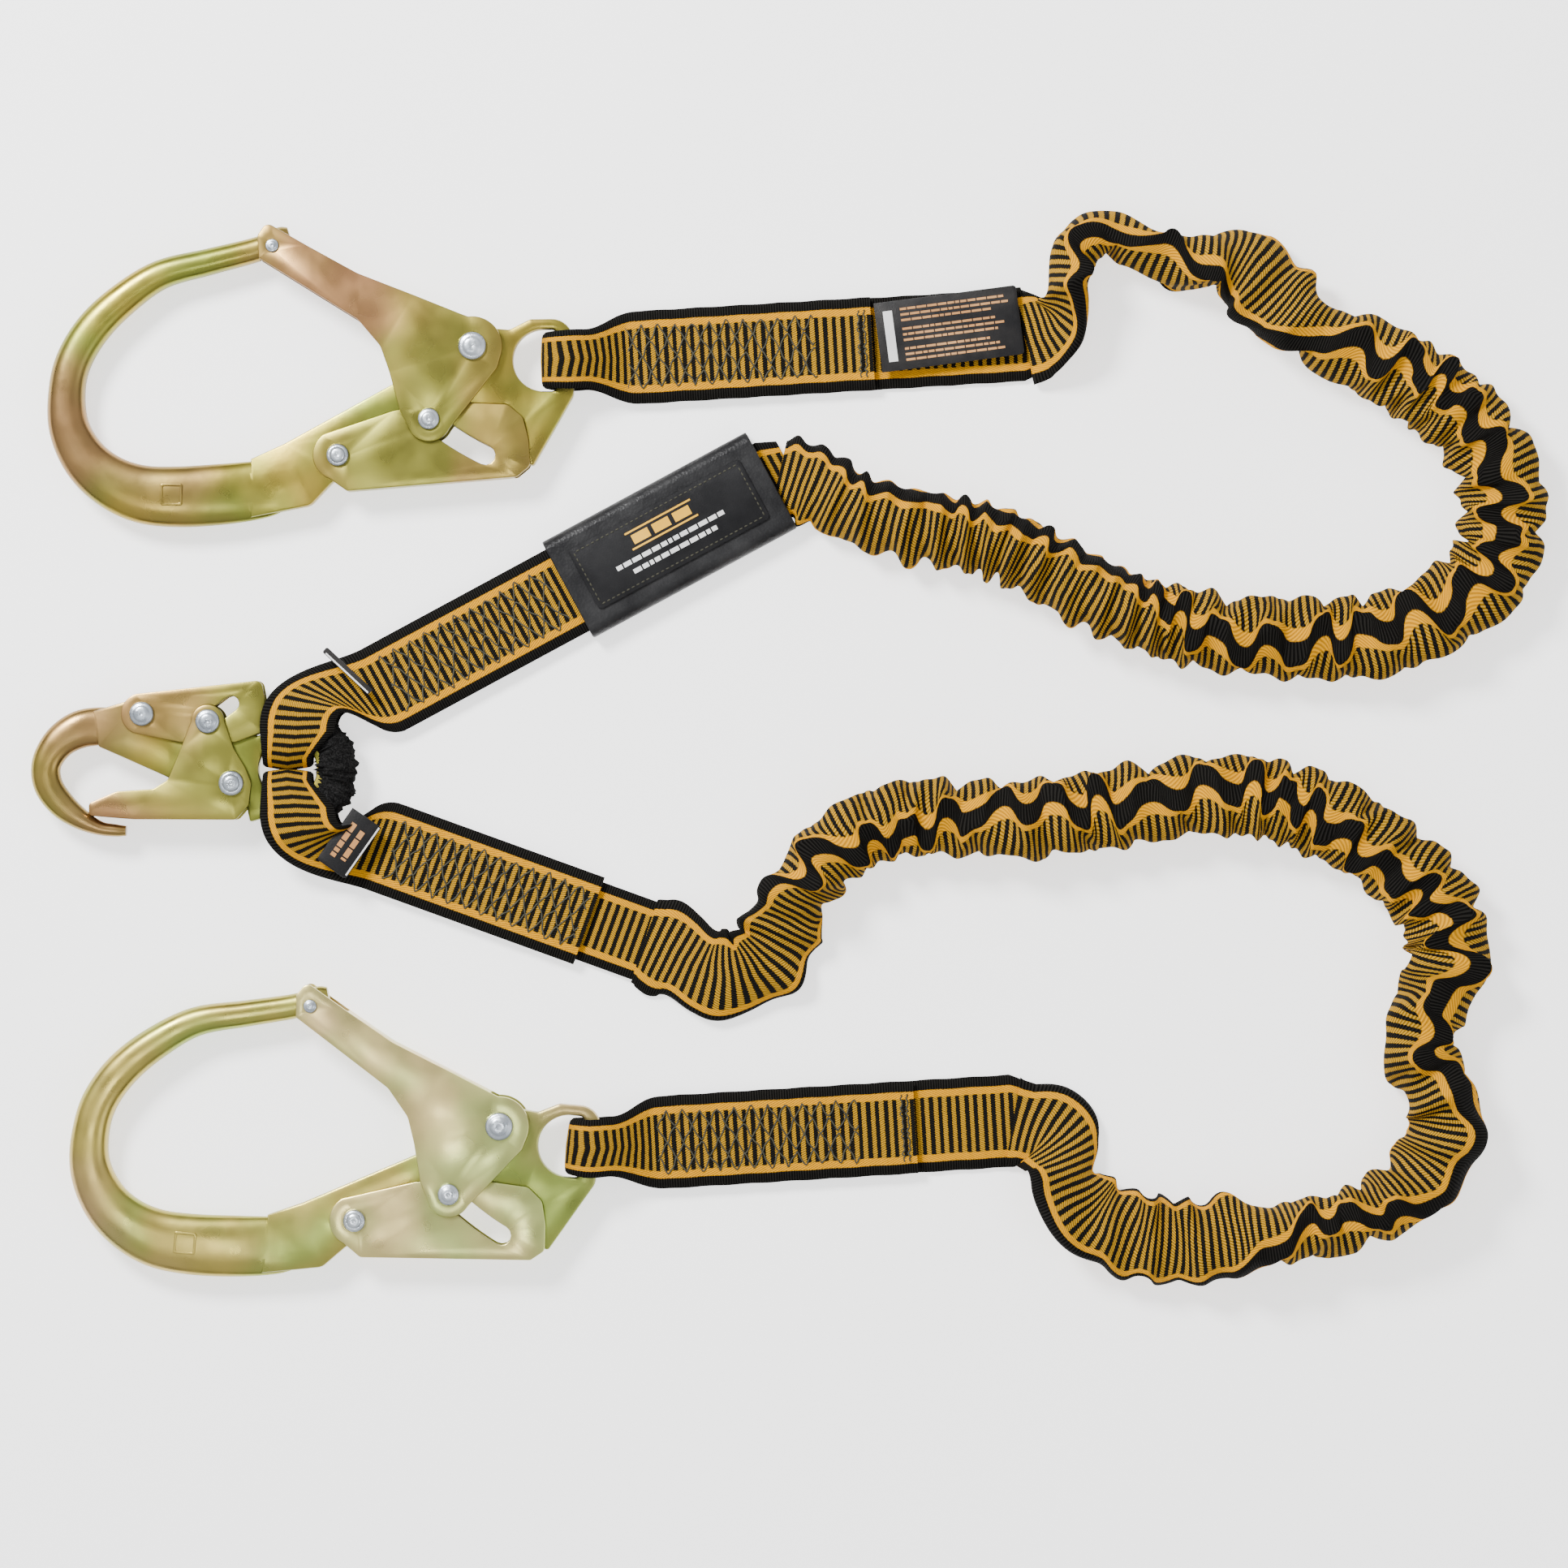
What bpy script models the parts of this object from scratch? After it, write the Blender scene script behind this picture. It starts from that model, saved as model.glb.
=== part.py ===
"""Twin-leg shock absorbing lanyard, laid flat: one snap hook, two large anchor hooks, two gathered legs.

Units: the tables below are millimetres, MM turns them into metres. +Z is up, the lanyard lies on z = 0.
Origin: the bottom centre of the hardware and sewn straps (the two free legs reach further, towards +X).
"""
import math

import bpy
import bmesh
from mathutils import Matrix, Vector

MM = 0.001
GAP = 0.3                     # running clearance between neighbouring solids

# ---- driving dimensions -------------------------------------------------------------------------
MID_Z = 11.0                  # height of every hook's middle plane
ANCHOR_SCALE = 1.028          # anchor hook outline factor: 240 mm overall
UPPER_PIVOT = (-24.05, 175.3)
UPPER_TURN = 0.0
LOWER_PIVOT = (-12.5, -160.2)
LOWER_TURN = -5.8
SNAP_PIVOT = (-127.65, -12.65)

BODY_HALF = 4.0               # half thickness of a hook's forged plate
LEVER_IN = 4.4                # a lever's two plates lie between these heights from the middle plane
LEVER_OUT = 6.0
GATE_IN = 6.4                 # and a gate's between these
GATE_OUT = 8.0
HEAD_TOP = 10.8               # top of the highest rivet head above the middle plane

WEB_WIDTH = 40.0              # flat width of the tubular webbing
SEWN_THICK = 7.4              # two layers sewn together
SINGLE_THICK = 3.5            # one layer
LOOP_THICK = 3.0
EYE_LOOP_WIDTH = 24.5         # the webbing is cupped where it passes an anchor hook's eye
LOOP_INNER = 7.3
PAD_INNER = 5.9
PAD_OUTER = 7.0

SHEATH_RADIUS = 13.0          # gathered leg, as a plain tube
SHEATH_BORE = 10.0
CORE_RADIUS = 6.0
LEG_Z = 13.2
LEG_RINGS = 40
LEG_SIDES = 8

COVER_CENTRE = (60.5, 94.6)
COVER_TURN = 28.4
COVER_LENGTH = 100.0
COVER_HALF = 22.0
COVER_WALL = 1.4
COVER_TOP = 12.0

IMPACT_TAG_Z = 15.8           # two small tags sewn on at the harness loops: place, turn and width
IMPACT_TAGS = [("impact_tag_upper", (-68, 26.5), 137.0, 3.0), ("impact_tag_lower", (-69.5, -27.5), 235.0, 15.0)]
FRAME_SHIFT = (0.122, -1.293, 0.0)  # puts the origin under the centre of the hardware and sewn straps

HARNESS_FOLD_X = -62.0        # where the harness loops leave the sewn straps
UPPER_STRAP_TURN = 28.4
LOWER_STRAP_TURN = -19.9
LOWER_STRAP_END = (25.7, -72.2)

# degrees about +Z from closed to fully open; the lock pin's slot is worked out from these
ANCHOR_GATE_TRAVEL = 36.0
ANCHOR_LEVER_TRAVEL = 9.0
SNAP_GATE_TRAVEL = -20.0
SNAP_LEVER_TRAVEL = -8.0

# ---- routes of the two legs, harness end first ---------------------------------------------------
UPPER_LEG = [(118.5, 117), (127.5, 113), (141, 105.5), (160, 99.5), (181, 95.5), (201, 91), (221, 81.5),
             (241, 70), (262, 61), (283, 55), (304, 51), (325, 50), (346, 49.5), (367, 51), (388, 59),
             (406, 70), (417, 85), (419.5, 102), (418, 119), (410, 136), (396, 150), (381, 161),
             (366, 169.5), (350, 176), (335, 184), (323, 194), (312, 206), (299, 213), (285, 212),
             (271, 214), (259, 221.5), (246, 223.5), (236, 217.5), (232, 207), (232.5, 195), (228.5, 186), (219, 181.8)]
LOWER_LEG = [(53, -82.2), (64, -86.6), (77, -94), (92, -95), (104, -85.5), (110.5, -71.5), (118, -57),
             (129, -43.5), (144, -33.5), (162, -28), (182, -27.5), (203, -28.5), (224, -27), (245, -24.5),
             (266, -21), (287, -18.5), (306, -18), (326, -21.5), (346, -29), (364, -39.5), (379, -52),
             (391, -66), (396.5, -82), (393, -98), (386, -112), (383.5, -127), (389.5, -141), (395, -156),
             (391.5, -172), (380, -186), (364, -196.5), (345, -203), (324, -205.5), (303, -208.5),
             (282, -210.5), (261, -207.5), (243, -200), (233, -187), (230, -173), (224, -163.4), (214.5, -160.4)]

# ---- anchor hook, flat outline numbers in the hook's own frame (gate pivot at the origin) --------
A_LEVER_PIVOT = (-56.4, -45.5)
A_LOCK_PIN = (-18.2, -30.5)
A_TIP_PIN = (-83.7, 42.0)
A_EYE = (29.8, -5.6)
A_EYE_RADIUS = 13.0
A_BAR = (38.5, -5.6)
# centre line x, y, half width in plan, half thickness
A_BOW = [(-77, 47, 3.6, 3.2), (-81, 45.6, 4.9, 4.4), (-90, 41.3, 5.2, 4.8), (-110.3, 36, 5.6, 5.4),
         (-131, 30.5, 6.2, 6.0), (-147, 20, 7.0, 6.3), (-159.6, 7.7, 7.5, 6.5), (-167.7, -6, 7.6, 6.6),
         (-170.5, -19.6, 7.8, 6.6), (-169.4, -34, 8.6, 6.6), (-162.8, -46.9, 9.8, 6.5),
         (-152.6, -56, 11.0, 6.4), (-139.3, -61.5, 12.2, 6.2), (-123.6, -62.7, 12.8, 6.0),
         (-104, -61.5, 12.8, 5.0), (-88, -59.5, 12.0, 3.7), (-80, -57.5, 10.0, 3.5)]

# ---- snap hook, the same way ---------------------------------------------------------------------
S_LEVER_PIVOT = (-38.7, 29.8)
S_LOCK_PIN = (-10.2, 26.6)
S_RING = (23.8, 6.0)
S_RING_OUTER = 20.3
S_RING_HOLE = 12.6
S_BOW = [(-47, 24.5, 7.5, 3.4), (-56, 24.6, 8.2, 3.8), (-66, 23.2, 8.2, 4.8), (-75, 17.6, 7.2, 5.2),
         (-80.4, 8.5, 6.4, 5.3), (-79.6, -1.0, 6.3, 5.2), (-73.6, -9.4, 5.9, 5.0), (-65.5, -15.6, 4.6, 4.6),
         (-57.5, -19.4, 3.1, 3.9), (-50.5, -20.4, 2.7, 3.4), (-46, -20.6, 2.2, 2.8)]

MATERIALS = {
    "plated_steel": ((0.52, 0.42, 0.20, 1), 0.9, 0.34),
    "rivet_steel": ((0.60, 0.64, 0.68, 1), 1.0, 0.28),
    "spring_steel": ((0.30, 0.31, 0.33, 1), 1.0, 0.32),
    "webbing": ((0.72, 0.36, 0.03, 1), 0.0, 0.85),
    "elastic_core": ((0.75, 0.73, 0.68, 1), 0.0, 0.8),
    "pad_fabric": ((0.02, 0.02, 0.02, 1), 0.0, 0.95),
    "cover_vinyl": ((0.03, 0.03, 0.032, 1), 0.0, 0.45),
    "closure_tape": ((0.02, 0.02, 0.022, 1), 0.0, 0.9),
    "tag_film": ((0.04, 0.04, 0.045, 1), 0.0, 0.5),
    "booklet_paper": ((0.85, 0.85, 0.82, 1), 0.0, 0.6),
}


# ---- general helpers -----------------------------------------------------------------------------
def clear_scene():
    for obj in list(bpy.data.objects):
        bpy.data.objects.remove(obj, do_unlink=True)


def material(name):
    found = bpy.data.materials.get(name)
    if found:
        return found
    colour, metallic, roughness = MATERIALS[name]
    made = bpy.data.materials.new(name)
    made.use_nodes = True
    shader = made.node_tree.nodes["Principled BSDF"]
    shader.inputs["Base Color"].default_value = colour
    shader.inputs["Metallic"].default_value = metallic
    shader.inputs["Roughness"].default_value = roughness
    made.diffuse_color = colour
    return made


def empty(name, location, turn=0.0, parent=None):
    """A guide that marks a joint axis; location in millimetres, turn in degrees about +Z."""
    obj = bpy.data.objects.new(name, None)
    bpy.context.scene.collection.objects.link(obj)
    obj.location = Vector(location) * MM
    obj.rotation_euler = (0, 0, math.radians(turn))
    obj.parent = parent
    return obj


def mesh_object(name, bm, mat, parent=None, location=(0, 0, 0), smooth=None):
    """Turn a millimetre bmesh into a named object; smooth is the angle that keeps an edge sharp."""
    bmesh.ops.recalc_face_normals(bm, faces=bm.faces)
    bmesh.ops.scale(bm, vec=(MM, MM, MM), verts=bm.verts)
    mesh = bpy.data.meshes.new(name)
    bm.to_mesh(mesh)
    bm.free()
    mesh.materials.append(material(mat))
    if smooth:
        mesh.shade_smooth()
        mesh.set_sharp_from_angle(angle=math.radians(smooth))
    obj = bpy.data.objects.new(name, mesh)
    bpy.context.scene.collection.objects.link(obj)
    obj.location = Vector(location) * MM
    obj.parent = parent
    return obj


def boolean(obj, cutter, operation):
    """Cut obj with cutter, or join the two, and leave the cutter as a hidden guide."""
    cutter.hide_render = True
    cutter.display_type = "WIRE"
    modifier = obj.modifiers.new(operation.title(), "BOOLEAN")
    modifier.object = cutter
    modifier.operation = operation
    modifier.solver = "EXACT"


def arc(centre, radius, start, end, steps):
    """Points on an arc, degrees, both ends included."""
    out = []
    for i in range(steps + 1):
        a = math.radians(start + (end - start) * i / steps)
        out.append((centre[0] + radius * math.cos(a), centre[1] + radius * math.sin(a)))
    return out


def rounded(points, steps=4):
    """Outline with (x, y, r) corners rounded by arcs; plain (x, y) corners stay sharp."""
    out = []
    count = len(points)
    for i, point in enumerate(points):
        corner = Vector(point[:2])
        if len(point) < 3:
            out.append(tuple(corner))
            continue
        back = (Vector(points[i - 1][:2]) - corner).normalized()
        ahead = (Vector(points[(i + 1) % count][:2]) - corner).normalized()
        half = back.angle(ahead) / 2
        bisector = (back + ahead).normalized()
        centre = corner + bisector * (point[2] / math.sin(half))
        first = corner + back * (point[2] / math.tan(half)) - centre
        last = corner + ahead * (point[2] / math.tan(half)) - centre
        turn = first.angle_signed(last)
        for k in range(steps + 1):
            spoke = first.copy()
            spoke.rotate(Matrix.Rotation(-turn * k / steps, 2))
            out.append(tuple(centre + spoke))
    return out


def scaled(points, factor):
    return [tuple(value * factor for value in point) for point in points]


def shifted(points, offset):
    return [(p[0] - offset[0], p[1] - offset[1]) + tuple(p[2:]) for p in points]


def plate(outline, low, high, holes=()):
    """A flat solid: the outline, less its holes, from z = low to z = high."""
    bm = bmesh.new()
    edges = []
    for loop in [outline, *holes]:
        verts = [bm.verts.new((x, y, low)) for x, y in loop]
        for i, vert in enumerate(verts):
            edges.append(bm.edges.new((vert, verts[(i + 1) % len(verts)])))
    bmesh.ops.triangle_fill(bm, use_beauty=True, edges=edges)
    grown = bmesh.ops.extrude_face_region(bm, geom=bm.faces[:])
    lifted = [item for item in grown["geom"] if isinstance(item, bmesh.types.BMVert)]
    bmesh.ops.translate(bm, vec=(0, 0, high - low), verts=lifted)
    return bm


def skin(rings, closed=False):
    """Join equal rings of points into one tube-like solid, capped unless closed on itself."""
    bm = bmesh.new()
    rows = [[bm.verts.new(p) for p in ring] for ring in rings]
    count = len(rows[0])
    pairs = list(zip(rows, rows[1:]))
    if closed:
        pairs.append((rows[-1], rows[0]))
    for first, second in pairs:
        for i in range(count):
            j = (i + 1) % count
            bm.faces.new((first[i], first[j], second[j], second[i]))
    if not closed:
        bm.faces.new(rows[0])
        bm.faces.new(rows[-1])
    return bm


def turned(profile, steps=10):
    """A solid of revolution about Z from (radius, z) points that start and end on the axis."""
    rings = []
    for k in range(steps):
        a = 2 * math.pi * k / steps
        rings.append([(r * math.cos(a), r * math.sin(a), z) for r, z in profile[1:-1]])
    bm = bmesh.new()
    rows = [[bm.verts.new(p) for p in ring] for ring in rings]
    low = bm.verts.new((0, 0, profile[0][1]))
    high = bm.verts.new((0, 0, profile[-1][1]))
    for k in range(steps):
        first, second = rows[k], rows[(k + 1) % steps]
        bm.faces.new((low, first[0], second[0]))
        bm.faces.new((high, first[-1], second[-1]))
        for i in range(len(first) - 1):
            bm.faces.new((first[i], first[i + 1], second[i + 1], second[i]))
    return bm


def smooth_line(points, per_span):
    """A smooth cubic curve through the points, with per_span steps between each two."""
    rows = [Vector(p) for p in points]
    rows = [rows[0] * 2 - rows[1], *rows, rows[-1] * 2 - rows[-2]]
    out = []
    for i in range(1, len(rows) - 2):
        a, b, c, d = rows[i - 1:i + 3]
        for k in range(per_span):
            t = k / per_span
            out.append(0.5 * (2 * b + (c - a) * t + (2 * a - 5 * b + 4 * c - d) * t * t
                              + (3 * b - a - 3 * c + d) * t ** 3))
    out.append(rows[-2])
    return out


def even_line(line, count):
    """The same line as count points at even distances."""
    reach = [0.0]
    for before, after in zip(line, line[1:]):
        reach.append(reach[-1] + (after - before).length)
    out = []
    k = 0
    for i in range(count):
        want = reach[-1] * i / (count - 1)
        while k < len(line) - 2 and reach[k + 1] < want:
            k += 1
        share = (want - reach[k]) / (reach[k + 1] - reach[k])
        out.append(line[k].lerp(line[k + 1], min(share, 1.0)))
    return out


def bow_sweep(stations, sides=10, per_span=2, power=0.8):
    """A forged bar: a rounded section swept in the plane along (x, y, half width, half thickness)."""
    line = smooth_line([tuple(s) for s in stations], per_span)
    rings = []
    for i, point in enumerate(line):
        ahead = line[min(i + 1, len(line) - 1)]
        behind = line[max(i - 1, 0)]
        along = Vector((ahead[0] - behind[0], ahead[1] - behind[1])).normalized()
        side = Vector((-along[1], along[0]))
        ring = []
        for k in range(sides):
            a = 2 * math.pi * (k + 0.5) / sides
            across = math.copysign(abs(math.cos(a)) ** power, math.cos(a)) * point[2]
            up = math.copysign(abs(math.sin(a)) ** power, math.sin(a)) * point[3]
            ring.append((point[0] + side[0] * across, point[1] + side[1] * across, up))
        rings.append(ring)
    return skin(rings)


def rivet(name, parent, location, shank, head, under, top):
    """A round rivet: a shank through the stack and a domed head on each side."""
    edge = top - under
    half = [(shank, under), (head, under), (head, under + edge * 0.35), (head * 0.86, under + edge * 0.75),
            (head * 0.5, top - 0.1)]
    profile = [(0, -top)] + [(r, -z) for r, z in reversed(half)] + half + [(0, top)]
    return mesh_object(name, turned(profile), "rivet_steel", parent, location, smooth=35)


def coil_spring(name, parent, location, radius, wire, low, turns=2.5):
    """A torsion spring: a round wire wound about Z."""
    steps = int(turns * 10)
    pitch = wire * 2 + 0.35
    rings = []
    for k in range(steps + 1):
        a = 2 * math.pi * k / 10
        out = Vector((math.cos(a), math.sin(a), 0))
        centre = out * radius + Vector((0, 0, low + wire + pitch * k / 10))
        rings.append([tuple(centre + out * wire * math.cos(b) + Vector((0, 0, wire * math.sin(b))))
                      for b in (2 * math.pi * s / 5 for s in range(5))])
    return mesh_object(name, skin(rings), "spring_steel", parent, location, smooth=80)


# ---- hooks ---------------------------------------------------------------------------------------
def channel(name, outline, cavity, inner, outer, parent, location, holes):
    """A folded sheet-metal channel: the full outline, less the space between its two plates."""
    piece = mesh_object(name, plate(outline, -outer, outer, holes), "plated_steel", parent, location)
    space = mesh_object(name + "_space", plate(cavity, -inner, inner), "plated_steel", parent, location)
    boolean(piece, space, "DIFFERENCE")
    return piece


def round_cutter(name, radius, low, high, parent, location):
    bm = plate(circle((0, 0), radius), low, high)
    return mesh_object(name, bm, "plated_steel", parent, location)


def capsule(start, end, radius, steps=8):
    """Outline of a slot with round ends."""
    angle = math.degrees(math.atan2(end[1] - start[1], end[0] - start[0]))
    return (arc(end, radius, angle - 90, angle + 90, steps)
            + arc(start, radius, angle + 90, angle + 270, steps))


def circle(centre, radius, steps=16):
    return arc(centre, radius, 0, 360 - 360 / steps, steps - 1)


def polar_slot(inner_path, radius):
    """Outline of a curved slot: a round tool of the given radius moved along the path."""
    left, right = [], []
    for i, point in enumerate(inner_path):
        ahead = inner_path[min(i + 1, len(inner_path) - 1)]
        behind = inner_path[max(i - 1, 0)]
        along = Vector((ahead[0] - behind[0], ahead[1] - behind[1])).normalized()
        left.append((point[0] - along[1] * radius, point[1] + along[0] * radius))
        right.append((point[0] + along[1] * radius, point[1] - along[0] * radius))
    first = math.degrees(math.atan2(left[0][1] - inner_path[0][1], left[0][0] - inner_path[0][0]))
    last = math.degrees(math.atan2(right[-1][1] - inner_path[-1][1], right[-1][0] - inner_path[-1][0]))
    return (right + arc(inner_path[-1], radius, last, last + 180, 6)[1:-1]
            + left[::-1] + arc(inner_path[0], radius, first, first + 180, 6)[1:-1])


def turned_about(point, centre, degrees):
    a = math.radians(degrees)
    dx, dy = point[0] - centre[0], point[1] - centre[1]
    return (centre[0] + dx * math.cos(a) - dy * math.sin(a), centre[1] + dx * math.sin(a) + dy * math.cos(a))


def pin_path(pin, lever_pivot, gate_travel, lever_travel, extra, steps=8):
    """Where the lock pin runs, seen from the turning lever; extra widens the run at both ends."""
    out = []
    for k in range(steps + 1):
        t = -extra + (1 + 2 * extra) * k / steps
        moved = turned_about(pin, (0, 0), gate_travel * t)
        out.append(turned_about(moved, lever_pivot, -lever_travel * t))
    return out


def anchor_hook(prefix, pivot, turn):
    k = ANCHOR_SCALE
    bar = Vector(scaled([A_BAR], k)[0])
    bar.rotate(Matrix.Rotation(math.radians(turn), 2))
    swing = empty(prefix + "_swing_axis", (pivot[0] + bar[0], pivot[1] + bar[1], MID_Z), turn)
    frame = empty(prefix + "_frame", (-A_BAR[0] * k, -A_BAR[1] * k, 0), 0, swing)
    lever_at = scaled([A_LEVER_PIVOT], k)[0]
    lever_axis = empty(prefix + "_lever_axis", (*lever_at, 0), 0, frame)
    gate_axis = empty(prefix + "_gate_axis", (0, 0, 0), 0, frame)
    lock = scaled([A_LOCK_PIN], k)[0]
    tip = scaled([A_TIP_PIN], k)[0]

    # forged body: flat plate with the eye, joined to the swept bow
    outline = rounded([(-93, -47), (-79, -40.6, 12), (-13, -4.3)]
                      + arc((0, 0), 11, 185, 45, 12)
                      + [(15.4, 7.2, 3), (24, 11.6, 4), (42, 11.9, 9), (42.3, -20.3, 5), (25.2, -50.4, 1.5),
                         (22, -48), (19.2, -33, 2)]
                      + arc((0, 0), 29, -60, -123, 8)
                      + [(-26.5, -26, 1.5), (-29, -34, 4), (-45, -50, 6), (-59, -57, 4), (-68, -66.5, 6), (-93, -71.5)])
    eye = rounded(arc(A_EYE, A_EYE_RADIUS, 90, 270, 14) + [(35, -18.6, 2), (35, 7.4, 2)])
    body = mesh_object(prefix + "_body",
                       plate(scaled(outline, k), -BODY_HALF, BODY_HALF, [scaled(eye, k)]),
                       "plated_steel", frame, smooth=40)
    bow = mesh_object(prefix + "_bow_shape", bow_sweep(scaled(A_BOW, k)), "plated_steel", frame)
    boolean(body, bow, "UNION")
    notch_end = (tip[0] - 0.449 * 16, tip[1] - 0.894 * 16)
    notch = mesh_object(prefix + "_notch_shape", plate(capsule(tip, notch_end, 2.5), -9, 9),
                        "plated_steel", frame)
    boolean(body, notch, "DIFFERENCE")
    for label, place, pocket in (("gate", (0, 0), 7.7), ("lever", lever_at, 6.9)):
        hole = round_cutter(f"{prefix}_{label}_hole", 3.5, -9, 9, frame, (*place, 0))
        boolean(body, hole, "DIFFERENCE")
        recess = round_cutter(f"{prefix}_{label}_recess", pocket, -1.8, 9, frame, (*place, 0))
        boolean(body, recess, "DIFFERENCE")

    # gate: channel, web along its outer edge, open at the nose and at the pivot
    gate = rounded([(-89.3, 36.8, 1), (-90, 46.2, 3), (-86.1, 51.8, 3), (-69.7, 42.4), (-48, 30.5, 20),
                    (-24.5, 21.4, 20), (-5, 13.6)]
                   + arc((0, 0), 12.5, 98, -18, 10)
                   + [(10.4, -9, 3)] + arc(A_LOCK_PIN, 9.5, -25, -140, 8)
                   + [(-30.5, -26.6, 6), (-34.7, -10.9, 10), (-38.5, 0, 8), (-48, 11.2, 8)])
    gate_space = [(-110, 70), (-68, 70), (-68, 39.2), (-48, 28.3), (-24.5, 19.2), (-5.2, 11.6), (-5.2, 40),
                  (50, 40), (50, -70), (-110, -70)]
    gate_holes = [circle((0, 0), 3.5), circle(lock, 3.5 + GAP), circle(tip, 2.1, 12)]
    channel(prefix + "_gate", scaled(gate, k), scaled(gate_space, k), GATE_IN, GATE_OUT, gate_axis,
            (0, 0, 0), gate_holes)

    # release lever: channel, web along the bottom, with the curved slot that the lock pin runs in
    lever = rounded(arc(A_LEVER_PIVOT, 10.5, 250, 125, 10)
                    + [(-32.2, -26.6, 12), (-2.5, -23.5, 20), (14.7, -24.2, 4), (21, -29.4, 4),
                       (23.5, -38.9, 8), (24.2, -50, 3), (18.6, -54.6, 2), (-52.5, -60.6, 3)])
    lever_space = [(-95, 10), (-95, -85), (-54.5, -85), (-53, -58.6), (17.4, -52.6), (18.4, -85), (60, -85),
                   (60, 10)]
    slot = polar_slot(pin_path(lock, lever_at, ANCHOR_GATE_TRAVEL, ANCHOR_LEVER_TRAVEL, 0.06), 3.5 + GAP + 0.4)
    channel(prefix + "_lever", shifted(scaled(lever, k), lever_at), shifted(scaled(lever_space, k), lever_at),
            LEVER_IN, LEVER_OUT, lever_axis, (0, 0, 0),
            [circle((0, 0), 3.5), shifted(slot, lever_at)])

    rivet(prefix + "_gate_rivet", gate_axis, (0, 0, 0), 3.2, 6.0, GATE_OUT + GAP, HEAD_TOP)
    rivet(prefix + "_lever_rivet", lever_axis, (0, 0, 0), 3.2, 4.8, LEVER_OUT + GAP, 8.8)
    rivet(prefix + "_lock_pin", gate_axis, (*lock, 0), 3.5, 4.6, GATE_OUT + GAP, 10.2)
    rivet(prefix + "_tip_pin", gate_axis, (*tip, 0), 1.8, 2.8, GATE_OUT + GAP, 9.3)
    coil_spring(prefix + "_gate_spring", frame, (0, 0, 0), 5.7, 0.7, -1.5)
    coil_spring(prefix + "_lever_spring", frame, (*lever_at, 0), 5.2, 0.65, -1.5)


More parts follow.
